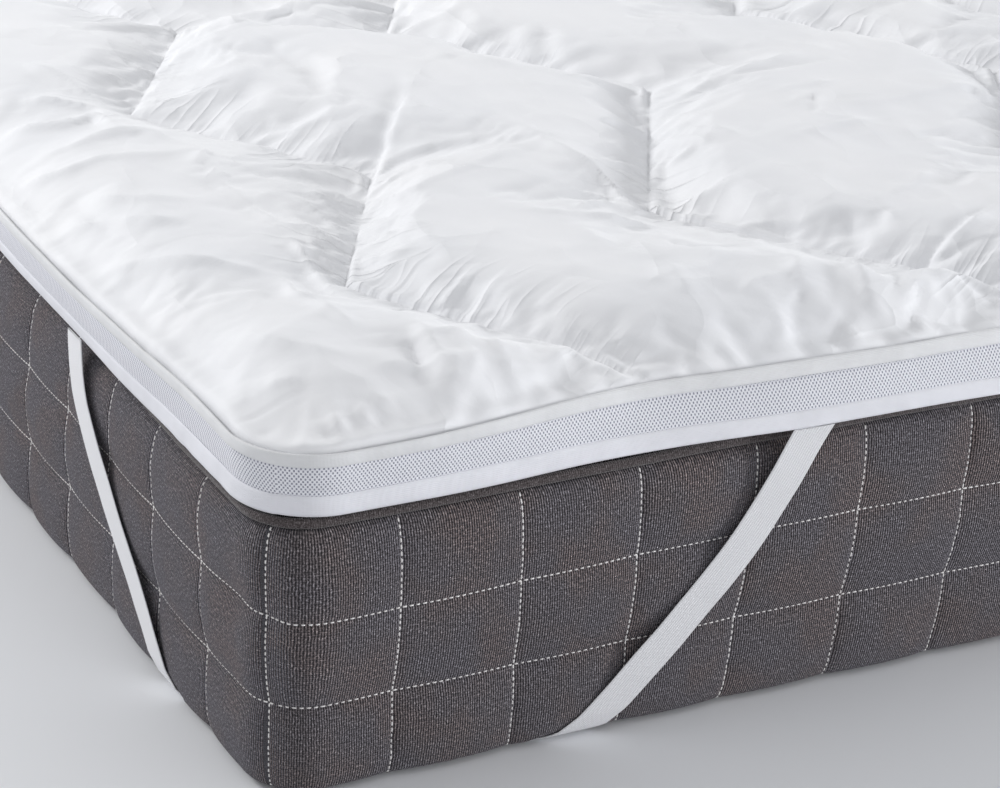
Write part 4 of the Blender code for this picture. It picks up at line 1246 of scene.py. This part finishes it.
def elastic_finish():
    """Woven elastic: ribs along it, crossed by fine picks."""
    g = Graph("woven_elastic", Roughness=0.62, Specular_IOR_Level=0.4, Sheen_Weight=0.25)
    where, along, across = flat_uv(g)
    ribs = waves(g, across, 0.0021)
    picks = waves(g, g.math("ADD", along, g.math("MULTIPLY", ribs, 0.0004)), 0.0013)
    fine = g.math("ADD", g.math("MULTIPLY", ribs, 0.6), g.math("MULTIPLY", picks, 0.5))
    # Painted shade: darker in the hollows between the ribs and picks, where the bump is low
    tint = g.mix(g.spread(fine, -1.0, 0.6, 0.55, 0.0), (0.95, 0.95, 0.97, 1), (0.74, 0.74, 0.79, 1))
    return g.finish(tint, g.bump(fine, 0.0004, 0.8))


def make_camera():
    data = bpy.data.cameras.new("camera")
    data.lens = CAMERA_LENS
    data.sensor_width = CAMERA_SENSOR
    data.sensor_fit = "HORIZONTAL"
    camera = bpy.data.objects.new("camera", data)
    bpy.context.scene.collection.objects.link(camera)
    turn = Matrix((CAMERA_RIGHT, CAMERA_UP, CAMERA_BACK)).transposed().to_4x4()
    camera.matrix_world = Matrix.Translation(CAMERA_PLACE) @ turn
    bpy.context.scene.camera = camera


def make_light(name, place, aim, size, power, colour=(1, 1, 1)):
    data = bpy.data.lights.new(name, "AREA")
    data.shape = "DISK"
    data.size, data.energy, data.color = size, power, colour
    light = bpy.data.objects.new(name, data)
    bpy.context.scene.collection.objects.link(light)
    light.location = place
    light.rotation_euler = (Vector(aim) - Vector(place)).to_track_quat("-Z", "Y").to_euler()


WORLD_COLOUR, WORLD_STRENGTH = (0.97, 0.98, 1.0, 1), 0.64


def make_stage():
    world = bpy.context.scene.world or bpy.data.worlds.new("world")
    bpy.context.scene.world = world
    world.use_nodes = True
    sky = world.node_tree.nodes["Background"]
    sky.inputs["Color"].default_value = WORLD_COLOUR
    sky.inputs["Strength"].default_value = WORLD_STRENGTH
    make_light("window", (-2.7, 2.9, 2.3), (-0.3, -0.6, 0.2), 1.2, 116, (1.0, 1.0, 1.0))
    make_light("side", (3.4, -2.8, 0.6), (-0.3, -0.9, 0.1), 0.9, 92, (0.97, 0.98, 1.0))
    g = Graph("studio_floor", Roughness=0.7)
    place = g.node("TexCoord").outputs["Object"]
    tint = g.ramp(g.noise(place, 1.5), (0.3, (0.80, 0.81, 0.83)), (0.7, (0.83, 0.84, 0.86)))
    corners = [(-8, -8, 0), (8, -8, 0), (8, 8, 0), (-8, 8, 0)]
    floor = new_mesh("floor", corners, np.array([[0, 1, 2, 3]]), None, g.finish(tint))
    floor.location.z = -0.0004
    bpy.context.scene.view_settings.view_transform = "Standard"


def main():
    make_camera()
    make_mattress(knit_finish())
    make_stitches(thread_finish())
    make_piping(welt_finish())
    make_panel(terry_finish())
    make_pad(cotton_finish())
    lower_tape = tape_finish("lower_tape", (0.90, 0.905, 0.96), 0.42)
    upper_tape = tape_finish("upper_tape", (0.88, 0.885, 0.90), 0.5)
    make_border(lower_tape, spacer_finish(), upper_tape)
    elastic = elastic_finish()
    for along, y_side in (("foot", -1), ("head", 1)):
        for across, x_side in (("left", -1), ("right", 1)):
            make_strap(f"elastic_{along}_{across}", f"strap_{along}_{across}", x_side, y_side, elastic)
    make_stage()


main()
bpy.context.view_layer.update()
